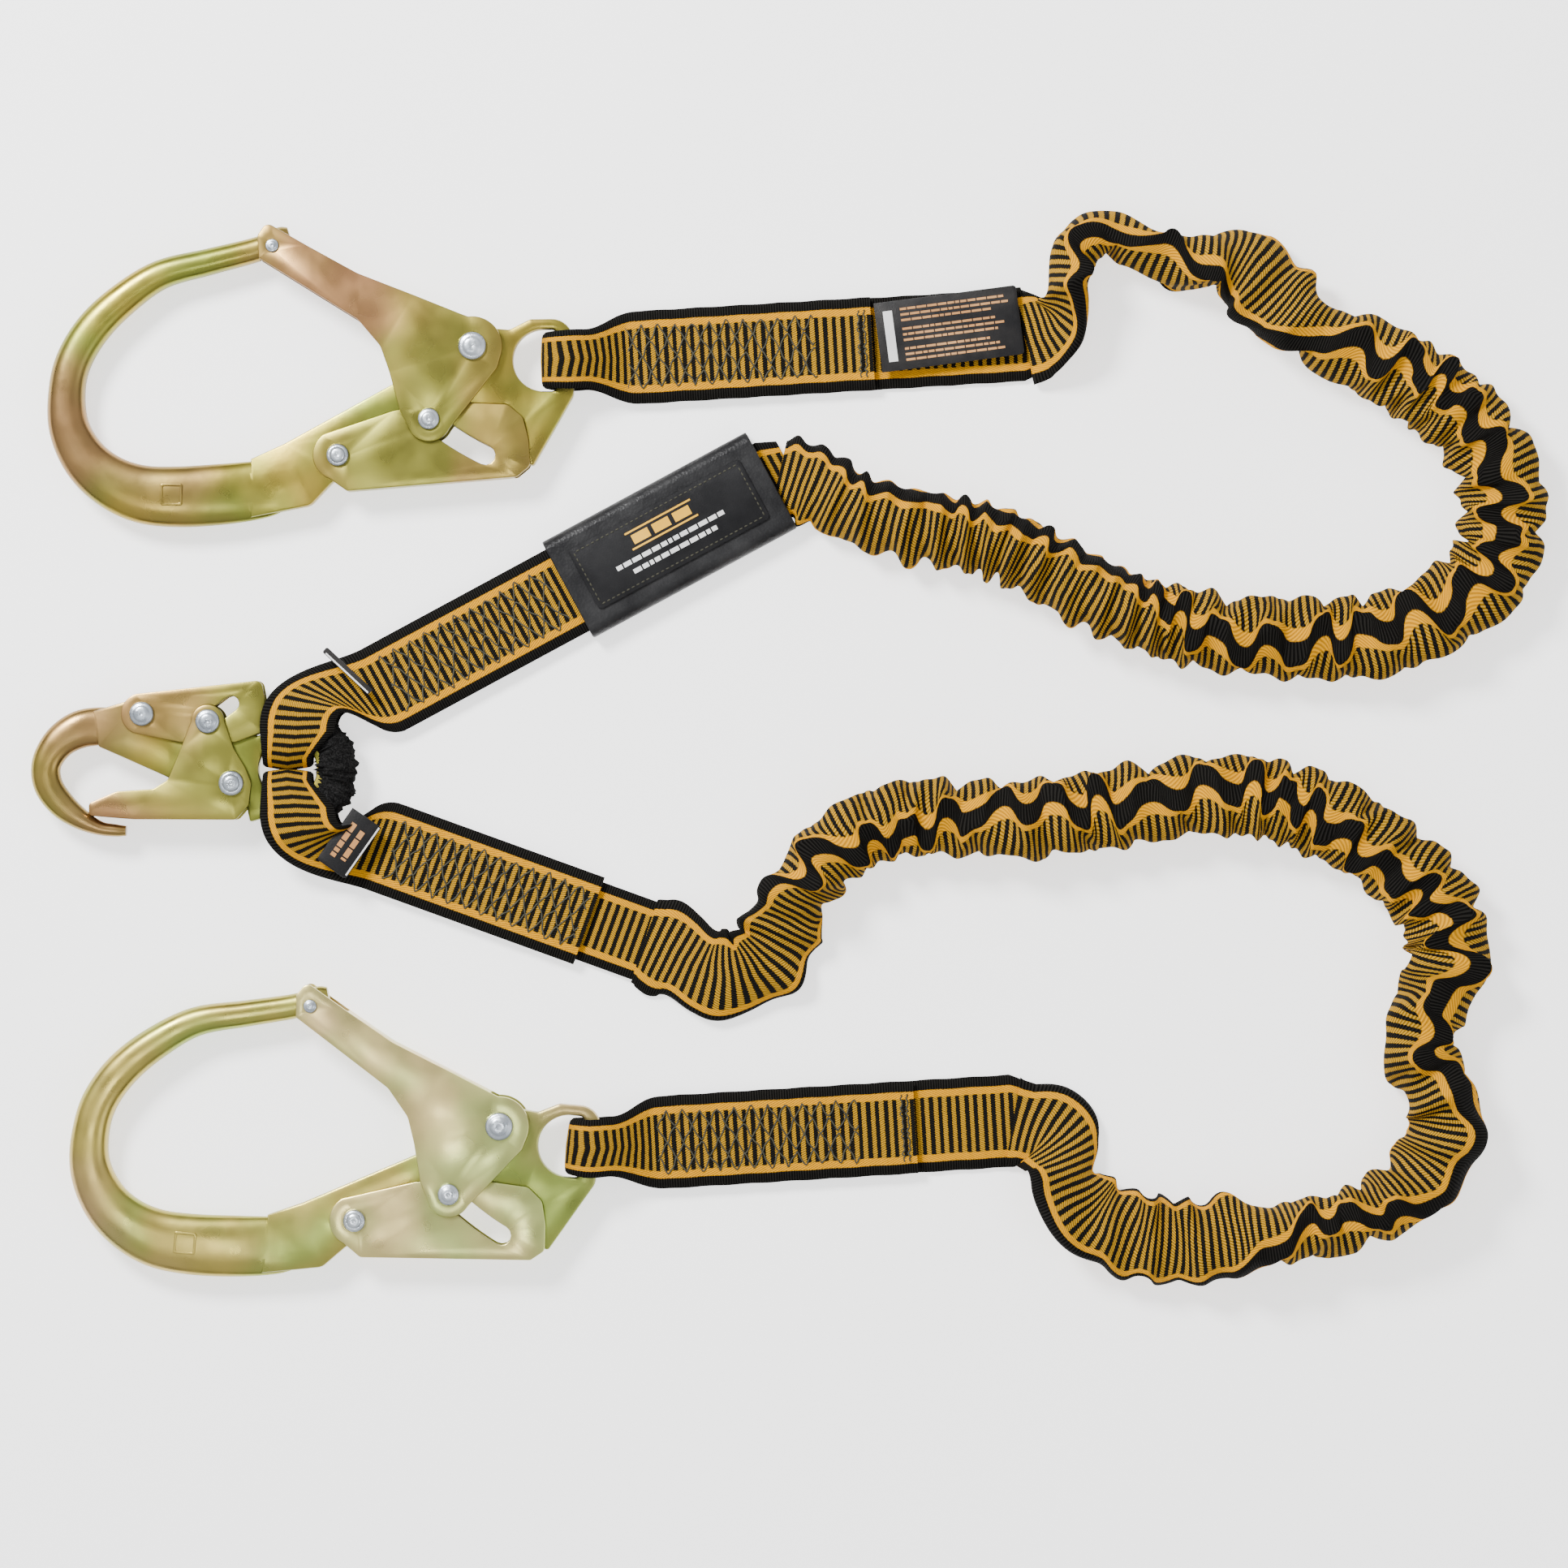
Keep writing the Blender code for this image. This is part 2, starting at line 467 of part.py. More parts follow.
def snap_hook():
    prefix = "harness_hook"
    fold = empty("harness_hook_swing_axis", (HARNESS_FOLD_X, SNAP_PIVOT[1], SEWN_THICK + GAP))
    frame = empty(prefix + "_frame", (SNAP_PIVOT[0] - HARNESS_FOLD_X, 0, MID_Z - SEWN_THICK - GAP), 0, fold)
    lever_axis = empty(prefix + "_lever_axis", (*S_LEVER_PIVOT, 0), 0, frame)
    gate_axis = empty(prefix + "_gate_axis", (0, 0, 0), 0, frame)

    outline = rounded([(-60, 31)] + arc(S_LEVER_PIVOT, 7.3, 110, 0, 8)
                      + [(-26, 21, 4)] + arc((0, 0), 23, 128, 62, 10)
                      + [(15.8, 21.8), (15.8, 38, 2), (21.4, 38, 2)]
                      + arc(S_RING, S_RING_OUTER, 97, -112, 30)
                      + [(15.5, -14.5), (7.5, -16.8, 1), (6.5, -11)]
                      + arc((0, 0), 9.5, -60, -165, 8)
                      + [(-14, -3.2, 3), (-28.4, 2.8, 10), (-57.8, 15.8, 2)])
    body = mesh_object(prefix + "_body",
                       plate(outline, -BODY_HALF, BODY_HALF, [circle(S_RING, S_RING_HOLE, 28)]),
                       "plated_steel", frame, smooth=40)
    bow = mesh_object(prefix + "_bow_shape", bow_sweep(S_BOW), "plated_steel", frame)
    boolean(body, bow, "UNION")
    for label, place, pocket in (("gate", (0, 0), 7.2), ("lever", S_LEVER_PIVOT, 5.9)):
        hole = round_cutter(f"{prefix}_{label}_hole", 3.1, -9, 9, frame, (*place, 0))
        boolean(body, hole, "DIFFERENCE")
        recess = round_cutter(f"{prefix}_{label}_recess", pocket, -1.8, 9, frame, (*place, 0))
        boolean(body, recess, "DIFFERENCE")

    gate = rounded([(-61.3, -8.6, 2), (-61.3, -14, 2), (-42, -15.6), (2, -15.8, 3), (7.4, -9.6, 3),
                    (8.6, 0, 4), (6, 6.7, 3), (1, 15, 6)]
                   + arc(S_LOCK_PIN, 7.2, 0, 180, 10)
                   + [(-22, 14.4, 8), (-27.4, 1.4, 4), (-33.6, -2.5, 4), (-49.4, -3.5, 8)])
    gate_space = [(-80, 60), (-80, -6), (-59.6, -12.2), (-42, -13.6), (0.5, -13.8), (0.5, -40), (40, -40),
                  (40, 60)]
    channel(prefix + "_gate", gate, gate_space, GATE_IN - 0.1, GATE_OUT - 0.2, gate_axis, (0, 0, 0),
            [circle((0, 0), 3.1), circle(S_LOCK_PIN, 2.6 + GAP)])

    lever = rounded(arc(S_LEVER_PIVOT, 9, 245, 105, 8)
                    + [(12.8, 44.4, 3), (15, 31.5, 4), (13.2, 22, 3), (1.4, 17.5, 4), (-22, 17.5, 10)])
    lever_space = [(-70, 0), (-70, 60), (-39.5, 60), (-38.5, 37.6), (11, 42.2), (11, 60), (60, 60), (60, 0)]
    slot = polar_slot(pin_path(S_LOCK_PIN, S_LEVER_PIVOT, SNAP_GATE_TRAVEL, SNAP_LEVER_TRAVEL, 0.06),
                      2.6 + GAP + 0.4)
    channel(prefix + "_lever", shifted(lever, S_LEVER_PIVOT), shifted(lever_space, S_LEVER_PIVOT),
            LEVER_IN, LEVER_OUT - 0.1, lever_axis, (0, 0, 0),
            [circle((0, 0), 3.1), shifted(slot, S_LEVER_PIVOT)])

    rivet(prefix + "_gate_rivet", gate_axis, (0, 0, 0), 2.8, 5.4, GATE_OUT, HEAD_TOP)
    rivet(prefix + "_lever_rivet", lever_axis, (0, 0, 0), 2.8, 5.2, LEVER_OUT + GAP, 8.6)
    rivet(prefix + "_lock_pin", gate_axis, (*S_LOCK_PIN, 0), 2.6, 5.2, GATE_OUT, HEAD_TOP - 0.6)
    coil_spring(prefix + "_gate_spring", frame, (0, 0, 0), 5.3, 0.65, -1.5)
    coil_spring(prefix + "_lever_spring", frame, (*S_LEVER_PIVOT, 0), 4.8, 0.6, -1.5)
    return fold


# ---- webbing -------------------------------------------------------------------------------------
def band(name, stations, thickness, mat, parent=None, origin=(0, 0, 0)):
    """A ribbon solid along stations of (centre, unit vector across, width), measured from origin."""
    rings = []
    for i, (centre, across, width) in enumerate(stations):
        ahead = Vector(stations[min(i + 1, len(stations) - 1)][0])
        behind = Vector(stations[max(i - 1, 0)][0])
        across = Vector(across).normalized()
        normal = (ahead - behind).cross(across).normalized() * (thickness / 2)
        side = across * (width / 2)
        centre = Vector(centre) - Vector(origin)
        rings.append([tuple(centre + side + normal), tuple(centre - side + normal),
                      tuple(centre - side - normal), tuple(centre + side - normal)])
    return mesh_object(name, skin(rings), mat, parent, (0, 0, 0))


def strap(name, start, turn, profile, width, mitre=0.0):
    """A sewn strap: its side profile of (length, height) drawn across the width.

    The end at length 0 is cut on a slant, mitre degrees, so that it lies along Y."""
    bm = bmesh.new()
    slant = math.tan(math.radians(mitre))
    half = width / 2
    rows = []
    for side in (-half, half):
        rows.append([bm.verts.new((s + (side * slant if s == 0 else 0), side, z)) for s, z in profile])
    count = len(profile)
    for i in range(count):
        j = (i + 1) % count
        bm.faces.new((rows[0][i], rows[0][j], rows[1][j], rows[1][i]))
    bm.faces.new(rows[0])
    bm.faces.new(rows[1])
    bmesh.ops.triangulate(bm, faces=bm.faces[:])
    obj = mesh_object(name, bm, "webbing", None, (*start, 0))
    obj.rotation_euler = (0, 0, math.radians(turn))
    return obj


def direction(turn):
    return Vector((math.cos(math.radians(turn)), math.sin(math.radians(turn)), 0))


def anchor_strap(side, pivot, hook_turn, seam, end):
    """Loop, wear pad and sewn strap at one anchor hook's eye bar."""
    bar = Vector(scaled([A_BAR], ANCHOR_SCALE)[0])
    bar.rotate(Matrix.Rotation(math.radians(hook_turn), 2))
    at = Vector((pivot[0] + bar[0], pivot[1] + bar[1], MID_Z))
    across = Vector((-math.sin(math.radians(hook_turn)), math.cos(math.radians(hook_turn)), 0))
    along = (Vector((*seam, MID_Z)) - at).normalized()
    turn = math.degrees(math.atan2(along[1], along[0]))
    square = Vector((-along[1], along[0], 0))
    out = Vector((across[1], -across[0], 0))

    # the loop: from the sewn strap's upper layer, round the bar, to its lower layer
    middle = LOOP_INNER + LOOP_THICK / 2
    start = at + along * 31
    stations = []
    for share in (0.0, 0.25, 0.5, 0.75):
        ease = share * share * (3 - 2 * share)
        spot = start.lerp(at + out * 1.5, share)
        rise = SEWN_THICK / 4 * 3 + (MID_Z + middle - SEWN_THICK / 4 * 3) * ease
        stations.append(((spot[0], spot[1], rise), square.lerp(across, share),
                         WEB_WIDTH + (EYE_LOOP_WIDTH - WEB_WIDTH) * min(1, share * 1.3)))
    for i in range(13):
        a = math.radians(90 + 180 * i / 12)
        spot = at + out * (middle * math.cos(a)) + Vector((0, 0, middle * math.sin(a)))
        stations.append((tuple(spot), across, EYE_LOOP_WIDTH))
    for share in (0.75, 0.5, 0.25, 0.0):
        ease = share * share * (3 - 2 * share)
        spot = start.lerp(at + out * 1.5, share)
        low = SEWN_THICK / 4 + (MID_Z - middle - SEWN_THICK / 4) * ease
        stations.append(((spot[0], spot[1], low), square.lerp(across, share),
                         WEB_WIDTH + (EYE_LOOP_WIDTH - WEB_WIDTH) * min(1, share * 1.3)))
    band(f"anchor_loop_{side}", stations, LOOP_THICK, "webbing")

    # wear pad: an open sleeve between the bar and the loop
    rings = []
    for i in range(15):
        a = math.radians(50 + 260 * i / 14)
        reach = out * math.cos(a) + Vector((0, 0, math.sin(a)))
        edge = across * (EYE_LOOP_WIDTH / 2)
        rings.append([tuple(at + reach * r + edge * s)
                      for r, s in ((PAD_INNER, -1), (PAD_INNER, 1), (PAD_OUTER, 1), (PAD_OUTER, -1))])
    mesh_object(f"anchor_wear_pad_{side}", skin(rings), "pad_fabric")

    sewn_start = at + along * (31 + 2 * GAP)
    sewn = (Vector((*seam, 0)) - Vector((sewn_start[0], sewn_start[1], 0))).length
    whole = sewn + (Vector(end) - Vector(seam)).length
    profile = [(0, 0), (whole, 0), (whole, SINGLE_THICK), (sewn, SINGLE_THICK), (sewn, SEWN_THICK),
               (0, SEWN_THICK)]
    strap(f"anchor_strap_{side}", (sewn_start[0], sewn_start[1]), turn, profile, WEB_WIDTH)


def harness_loop(side, fold, strap_line, turn, ring_side):
    """The loop of one leg round the snap hook's ring, folded flat where it meets the sewn strap."""
    ring = Vector((SNAP_PIVOT[0] + S_RING[0], SNAP_PIVOT[1] + S_RING[1], MID_Z))
    arm = (S_RING_OUTER + S_RING_HOLE) / 2
    reach, middle = 10.0, 8.3
    end = Vector((HARNESS_FOLD_X - 2 * GAP, strap_line, 0))
    over = Vector((ring[0], ring[1] + ring_side * arm, 0))
    leave = direction(turn)
    outward = Vector((0, ring_side, 0))
    width = 14.0
    mitred = WEB_WIDTH / math.cos(math.radians(turn))
    path = []
    for i in range(6):
        t = i / 6
        spot = ((1 - t) ** 3 * end + 3 * t * (1 - t) ** 2 * (end - leave * 13)
                + 3 * t * t * (1 - t) * (over + outward * 22) + t ** 3 * (over + outward * 4))
        path.append((t, spot))
    stations = []
    for t, spot in path:
        ease = t * t * (3 - 2 * t)
        rise = SEWN_THICK / 4 * 3 + (MID_Z + middle - SEWN_THICK / 4 * 3) * ease
        across = Vector((0, 1, 0)).slerp(Vector((-ring_side, 0, 0)), ease)
        stations.append(((spot[0], spot[1], rise), across, mitred + (width - mitred) * min(1, t * 1.35)))
    for i in range(13):
        a = math.radians(90 - 180 * i / 12)
        spot = over + Vector((0, -ring_side * reach * math.cos(a), MID_Z + middle * math.sin(a)))
        stations.append((tuple(spot), (-ring_side, 0, 0), width))
    for t, spot in reversed(path):
        ease = t * t * (3 - 2 * t)
        low = SEWN_THICK / 4 + (MID_Z - middle - SEWN_THICK / 4) * ease
        across = Vector((0, 1, 0)).slerp(Vector((-ring_side, 0, 0)), ease)
        stations.append(((spot[0], spot[1], low), across, mitred + (width - mitred) * min(1, t * 1.35)))
    origin = Vector(fold.location) / MM
    band(f"harness_loop_{side}", stations, LOOP_THICK, "webbing", fold, origin)


def harness_wear_pad(fold):
    """The black pad at the right side of the ring, between the two loops."""
    ring = Vector((SNAP_PIVOT[0] + S_RING[0], SNAP_PIVOT[1] + S_RING[1], MID_Z)) - Vector(fold.location) / MM
    rings = []
    for i in range(9):
        a = math.radians(-22 + 48 * i / 8)
        reach = Vector((math.cos(a), math.sin(a), 0))
        rings.append([tuple(ring + reach * r + Vector((0, 0, z)))
                      for r, z in ((20.7, -7), (24, -9), (28, -6), (29, 0), (28, 6), (24, 9), (20.7, 7))])
    mesh_object("harness_wear_pad", skin(rings), "pad_fabric", fold)


def leg(side, route):
    """One gathered leg: a hollow sheath with the stretching core inside."""
    line = even_line(smooth_line([(x, y, LEG_Z) for x, y in route], 8), LEG_RINGS)
    walls = {SHEATH_RADIUS: [], SHEATH_BORE: []}
    for i, point in enumerate(line):
        along = (line[min(i + 1, len(line) - 1)] - line[max(i - 1, 0)]).normalized()
        side_way = Vector((-along[1], along[0], 0))
        for radius, rings in walls.items():
            rings.append([point + (side_way * math.cos(a) + Vector((0, 0, math.sin(a)))) * radius
                          for a in (2 * math.pi * k / LEG_SIDES for k in range(LEG_SIDES))])
    rings = walls[SHEATH_RADIUS] + walls[SHEATH_BORE][::-1]
    mesh_object(f"leg_sheath_{side}", skin(rings, closed=True), "webbing", smooth=60)

    curve = bpy.data.curves.new(f"leg_core_{side}", "CURVE")
    curve.dimensions = "3D"
    curve.bevel_depth = CORE_RADIUS * MM
    curve.bevel_resolution = 2
    curve.use_fill_caps = True
    spline = curve.splines.new("POLY")
    spline.points.add(len(line) - 1)
    for spot, point in zip(spline.points, line):
        spot.co = (*(point * MM), 1)
    curve.materials.append(material("elastic_core"))
    bpy.context.scene.collection.objects.link(bpy.data.objects.new(f"leg_core_{side}", curve))


# ---- label cover and tags ------------------------------------------------------------------------
def across_plate(name, outline, start, end, mat, parent, location=(0, 0, 0)):
    """A solid whose (across, height) outline is drawn along the strap from start to end."""
    bm = plate(outline, start, end)
    turn_up = Matrix(((0, 0, 1), (1, 0, 0), (0, 1, 0)))
    bmesh.ops.transform(bm, matrix=turn_up.to_4x4(), verts=bm.verts)
    bmesh.ops.translate(bm, vec=Vector(location) * -1, verts=bm.verts)
    return mesh_object(name, bm, mat, parent)


def label_cover():
    base = empty("label_cover_frame", (*COVER_CENTRE, 0), COVER_TURN)
    hinge_at = (0, COVER_HALF + COVER_WALL + 0.2, 5.0)
    hinge = empty("label_cover_hinge", hinge_at, 0, base)
    half = COVER_LENGTH / 2
    w = COVER_HALF
    t = COVER_WALL
    back = [(-w + 2.2, 0), (w, 0), (w + t, t), (w + t, 4.4), (w, 4.4), (w, t), (-w + 2.2 + t, t),
            (-w + 2.2 + t, 6.4), (-w + 2.2, 6.4)]
    across_plate("label_cover_back", back, -half, half, "cover_vinyl", base)
    top = COVER_TOP
    flap = ([(w, 5.4), (w + t, 5.4)] + arc((w - 3.6, top - 5), 5, 0, 90, 5)
            + arc((-w + 3.6, top - 5), 5, 90, 180, 5) + [(-w - 1.4, 1.0), (-w, 1.0)]
            + arc((-w + 3.6, top - 5), 3.6, 180, 90, 5) + arc((w - 3.6, top - 5), 3.6, 90, 0, 5))
    across_plate("label_cover_flap", flap, -half, half, "cover_vinyl", hinge, location=hinge_at)
    patch = plate(rounded([(-42, -14.5, 2), (42, -14.5, 2), (42, 14.5, 2), (-42, 14.5, 2)]), top + GAP,
                  top + GAP + 0.8)
    bmesh.ops.translate(patch, vec=Vector(hinge_at) * -1, verts=patch.verts)
    mesh_object("label_cover_patch", patch, "tag_film", hinge)
    loop_side = -w + GAP
    loop_strip = [(loop_side, 1.6), (loop_side + 0.7, 1.6), (loop_side + 0.7, 5.8), (loop_side, 5.8)]
    across_plate("label_loop_strip", loop_strip, -40, 40, "closure_tape", hinge, location=hinge_at)
    hook_side = -w + 2.2 - GAP
    hook_strip = [(hook_side - 0.6, 1.6), (hook_side, 1.6), (hook_side, 5.8), (hook_side - 0.6, 5.8)]
    across_plate("label_hook_strip", hook_strip, -40, 40, "closure_tape", base)
    booklet = plate(rounded([(-42, -15, 2), (42, -15, 2), (42, 15, 2), (-42, 15, 2)]), 5.9, 7.9)
    mesh_object("label_booklet", booklet, "booklet_paper", base)


def tag(name, mat, at, turn, length, width, low, thick, parent=None, origin=(0, 0, 0), corner=1.5):
    """A flat tag whose sewn edge passes through at; it reaches length along turn."""
    holder = empty(name + "_axis", Vector((*at, low)) - Vector(origin), turn, parent)
    bm = plate(rounded([(0, -width / 2), (length, -width / 2, corner), (length, width / 2, corner),
                        (0, width / 2)]), 0, thick)
    return mesh_object(name, bm, mat, holder)


def main():
    clear_scene()
    anchor_hook("anchor_hook_upper", UPPER_PIVOT, UPPER_TURN)
    anchor_hook("anchor_hook_lower", LOWER_PIVOT, LOWER_TURN)
    fold = snap_hook()

    anchor_strap("upper", UPPER_PIVOT, UPPER_TURN, (147.1, 177.4), (213.0, 181.0))
    anchor_strap("lower", LOWER_PIVOT, LOWER_TURN, (165.7, -161.4), (208.5, -158.5))

    # sewn harness straps: thick where doubled, then a single layer towards the leg
    upper_way = direction(UPPER_STRAP_TURN)
    rise = math.tan(math.radians(UPPER_STRAP_TURN))
    upper_y = COVER_CENTRE[1] + (HARNESS_FOLD_X - COVER_CENTRE[0]) * rise
    to_cover = (COVER_CENTRE[0] - HARNESS_FOLD_X) / upper_way[0]
    doubled = to_cover - COVER_LENGTH / 2 - 0.6
    whole = to_cover + COVER_LENGTH / 2 + 3
    profile = [(0, 0), (doubled, 0), (doubled, 1.8), (whole, 1.8), (whole, 1.8 + SINGLE_THICK),
               (doubled, 1.8 + SINGLE_THICK), (doubled, SEWN_THICK), (0, SEWN_THICK)]
    strap("harness_strap_upper", (HARNESS_FOLD_X, upper_y), UPPER_STRAP_TURN, profile, 36.0,
          UPPER_STRAP_TURN)
    lower_way = direction(LOWER_STRAP_TURN)
    doubled = (LOWER_STRAP_END[0] - HARNESS_FOLD_X) / lower_way[0]
    lower_y = LOWER_STRAP_END[1] - doubled * lower_way[1]
    whole = doubled + 27
    profile = [(0, 0), (whole, 0), (whole, SINGLE_THICK), (doubled, SINGLE_THICK), (doubled, SEWN_THICK),
               (0, SEWN_THICK)]
    strap("harness_strap_lower", (HARNESS_FOLD_X, lower_y), LOWER_STRAP_TURN, profile, WEB_WIDTH,
          LOWER_STRAP_TURN)
    harness_loop("upper", fold, upper_y, UPPER_STRAP_TURN, 1)
    harness_loop("lower", fold, lower_y, LOWER_STRAP_TURN, -1)
    harness_wear_pad(fold)

    leg("upper", UPPER_LEG)
    leg("lower", LOWER_LEG)
    label_cover()
    tag("warning_tag", "tag_film", (150.5, 179.5), 7.5, 62.0, 30.0, SEWN_THICK + 0.6, 0.8)
    for name, at, turn, width in IMPACT_TAGS:
        tag(name, "tag_film", at, turn, 27.0, width, IMPACT_TAG_Z, 0.8, fold, fold.location / MM, 1.0)
    for obj in bpy.data.objects:
        if obj.parent is None:
            obj.location += Vector(FRAME_SHIFT) * MM


main()
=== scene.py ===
"""Looks of the twin-leg shock absorbing lanyard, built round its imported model.

Outlines repeat the design's own numbers, in millimetres, with finer steps and rounded edges.
"""
import math

import bpy
import bmesh
import numpy as np
from mathutils import Matrix, Vector

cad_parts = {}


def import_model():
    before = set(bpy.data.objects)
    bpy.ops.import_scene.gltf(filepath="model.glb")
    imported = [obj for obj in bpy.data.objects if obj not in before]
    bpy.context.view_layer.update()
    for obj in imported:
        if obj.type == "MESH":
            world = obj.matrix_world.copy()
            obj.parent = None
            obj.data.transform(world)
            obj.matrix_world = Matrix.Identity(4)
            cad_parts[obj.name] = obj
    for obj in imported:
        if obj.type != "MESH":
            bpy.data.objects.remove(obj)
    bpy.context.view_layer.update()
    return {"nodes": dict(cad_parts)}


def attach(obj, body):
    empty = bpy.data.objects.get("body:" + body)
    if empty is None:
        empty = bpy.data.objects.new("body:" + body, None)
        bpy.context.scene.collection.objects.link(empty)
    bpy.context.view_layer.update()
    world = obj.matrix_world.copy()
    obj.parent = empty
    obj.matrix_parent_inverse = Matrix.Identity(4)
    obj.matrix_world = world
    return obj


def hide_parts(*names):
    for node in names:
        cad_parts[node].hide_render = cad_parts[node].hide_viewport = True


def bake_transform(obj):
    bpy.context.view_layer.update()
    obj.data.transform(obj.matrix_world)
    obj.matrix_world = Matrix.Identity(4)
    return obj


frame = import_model()

# ---- the design's numbers, millimetres -------------------------------------------------------------
# A_ is for the two large anchor hooks, drawn before ANCHOR_SCALE, and S_ is for the small snap hook.
# Each hook is drawn about its gate's rivet. A bow's rows are (x, y, half width, half thickness).
MID_Z = 11.0
ANCHOR_SCALE = 1.028
BODY_HALF = 4.0
HEAD_TOP = 10.8
HEAD_UNDER = 8.3              # under the rivet heads, just over a large hook's gate
RIVET_HOLE = 3.5
THROUGH = 9.0                 # half height of a cut that goes right through a hook
WEB_WIDTH = 40.0
EYE_WEB = 25.2                # the web's width where it is bunched in a hook's eye
LOOP_INNER = 7.3
PAD_INNER = 5.9
COVER_LENGTH = 100.0
COVER_HALF = 22.0
COVER_WALL = 1.4
COVER_TOP = 12.0
COVER_TURN = 28.4
COVER_CENTRE = (60.5, 94.6)
A_LEVER_PIVOT = (-56.4, -45.5)
A_LOCK_PIN = (-18.2, -30.5)
A_TIP_PIN = (-83.7, 42.0)
A_EYE = (29.8, -5.6)
A_EYE_RADIUS = 13.0
A_BAR = (38.5, -5.6)
S_LEVER_PIVOT = (-38.7, 29.8)
S_LOCK_PIN = (-10.2, 26.6)
S_RING = (23.8, 6.0)
S_RING_OUTER = 20.3
S_RING_HOLE = 12.6
UPPER_PIVOT = (-24.05, 175.3)
LOWER_PIVOT = (-12.5, -160.2)
LOWER_TURN = -5.8
SNAP_PIVOT = (-127.65, -12.65)
FRAME_SHIFT = (0.122, -1.293, 0.0)
UPPER_STRAP_TURN = 28.4
LOWER_STRAP_TURN = -19.9
LOWER_STRAP_END = (25.7, -72.2)
HARNESS_FOLD_X = -62.0
ANCHOR_GATE_TRAVEL = 36.0
ANCHOR_LEVER_TRAVEL = 9.0
SNAP_GATE_TRAVEL = -20.0
SNAP_LEVER_TRAVEL = -8.0
SLOT_SPARE = 0.06
SLOT_STEPS = 20
UPPER_LEG = [(118.5, 117), (127.5, 113), (141, 105.5), (160, 99.5), (181, 95.5), (201, 91), (221, 81.5),
             (241, 70), (262, 61), (283, 55), (304, 51), (325, 50), (346, 49.5), (367, 51), (388, 59),
             (406, 70), (417, 85), (419.5, 102), (418, 119), (410, 136), (396, 150), (381, 161),
             (366, 169.5), (350, 176), (335, 184), (323, 194), (312, 206), (299, 213), (285, 212),
             (271, 214), (259, 221.5), (246, 223.5), (236, 217.5), (232, 207), (232.5, 195), (228.5, 186),
             (219, 181.8)]
LOWER_LEG = [(53, -82.2), (64, -86.6), (77, -94), (92, -95), (104, -85.5), (110.5, -71.5), (118, -57),
             (129, -43.5), (144, -33.5), (162, -28), (182, -27.5), (203, -28.5), (224, -27), (245, -24.5),
             (266, -21), (287, -18.5), (306, -18), (326, -21.5), (346, -29), (364, -39.5), (379, -52),
             (391, -66), (396.5, -82), (393, -98), (386, -112), (383.5, -127), (389.5, -141), (395, -156),
             (391.5, -172), (380, -186), (364, -196.5), (345, -203), (324, -205.5), (303, -208.5),
             (282, -210.5), (261, -207.5), (243, -200), (233, -187), (230, -173), (224, -163.4),
             (214.5, -160.4)]
A_BOW = [(-77, 47, 3.6, 3.2), (-81, 45.6, 4.9, 4.4), (-90, 41.3, 5.2, 4.8), (-110.3, 36, 5.6, 5.4),
         (-131, 30.5, 6.2, 6.0), (-147, 20, 7.0, 6.3), (-159.6, 7.7, 7.5, 6.5), (-167.7, -6, 7.6, 6.6),
         (-170.5, -19.6, 7.8, 6.6), (-169.4, -34, 8.6, 6.6), (-162.8, -46.9, 9.8, 6.5),
         (-152.6, -56, 11.0, 6.4), (-139.3, -61.5, 12.2, 6.2), (-123.6, -62.7, 12.8, 6.0),
         (-104, -61.5, 12.8, 5.0), (-88, -59.5, 12.0, 3.7), (-80, -57.5, 10.0, 3.5)]
S_BOW = [(-47, 24.5, 7.5, 3.4), (-56, 24.6, 8.2, 3.8), (-66, 23.2, 8.2, 4.8), (-75, 17.6, 7.2, 5.2),
         (-80.4, 8.5, 6.4, 5.3), (-79.6, -1.0, 6.3, 5.2), (-73.6, -9.4, 5.9, 5.0), (-65.5, -15.6, 4.6, 4.6),
         (-57.5, -19.4, 3.1, 3.9), (-50.5, -20.4, 2.7, 3.4), (-46, -20.6, 2.2, 2.8)]


# ---- outline helpers -------------------------------------------------------------------------------
def arc(centre, radius, start, end, steps):
    """Points on an arc, degrees, both ends included."""
    out = []
    for i in range(steps + 1):
        a = math.radians(start + (end - start) * i / steps)
        out.append((centre[0] + radius * math.cos(a), centre[1] + radius * math.sin(a)))
    return out


def rounded(points, steps):
    """Outline with (x, y, r) corners rounded by arcs; plain (x, y) corners stay sharp."""
    out = []
    count = len(points)
    for i, point in enumerate(points):
        corner = Vector(point[:2])
        if len(point) < 3:
            out.append(tuple(corner))
            continue
        back = (Vector(points[i - 1][:2]) - corner).normalized()
        ahead = (Vector(points[(i + 1) % count][:2]) - corner).normalized()
        half = back.angle(ahead) / 2
        bisector = (back + ahead).normalized()
        centre = corner + bisector * (point[2] / math.sin(half))
        first = corner + back * (point[2] / math.tan(half)) - centre
        last = corner + ahead * (point[2] / math.tan(half)) - centre
        turn = first.angle_signed(last)
        for k in range(steps + 1):
            spoke = first.copy()
            spoke.rotate(Matrix.Rotation(-turn * k / steps, 2))
            out.append(tuple(centre + spoke))
    return out


def scaled(points, factor):
    return [tuple(value * factor for value in point) for point in points]


def join_rows(bm, rows):
    """Quads between each two equal closed rows of vertices."""
    count = len(rows[0])
    for first, second in zip(rows, rows[1:]):
        for i in range(count):
            j = (i + 1) % count
            bm.faces.new((first[i], first[j], second[j], second[i]))


def skin(rings):
    """Join equal rings of points into one tube-like solid, capped at both ends."""
    bm = bmesh.new()
    rows = [[bm.verts.new(p) for p in ring] for ring in rings]
    join_rows(bm, rows)
    bm.faces.new(rows[0])
    bm.faces.new(rows[-1])
    return bm


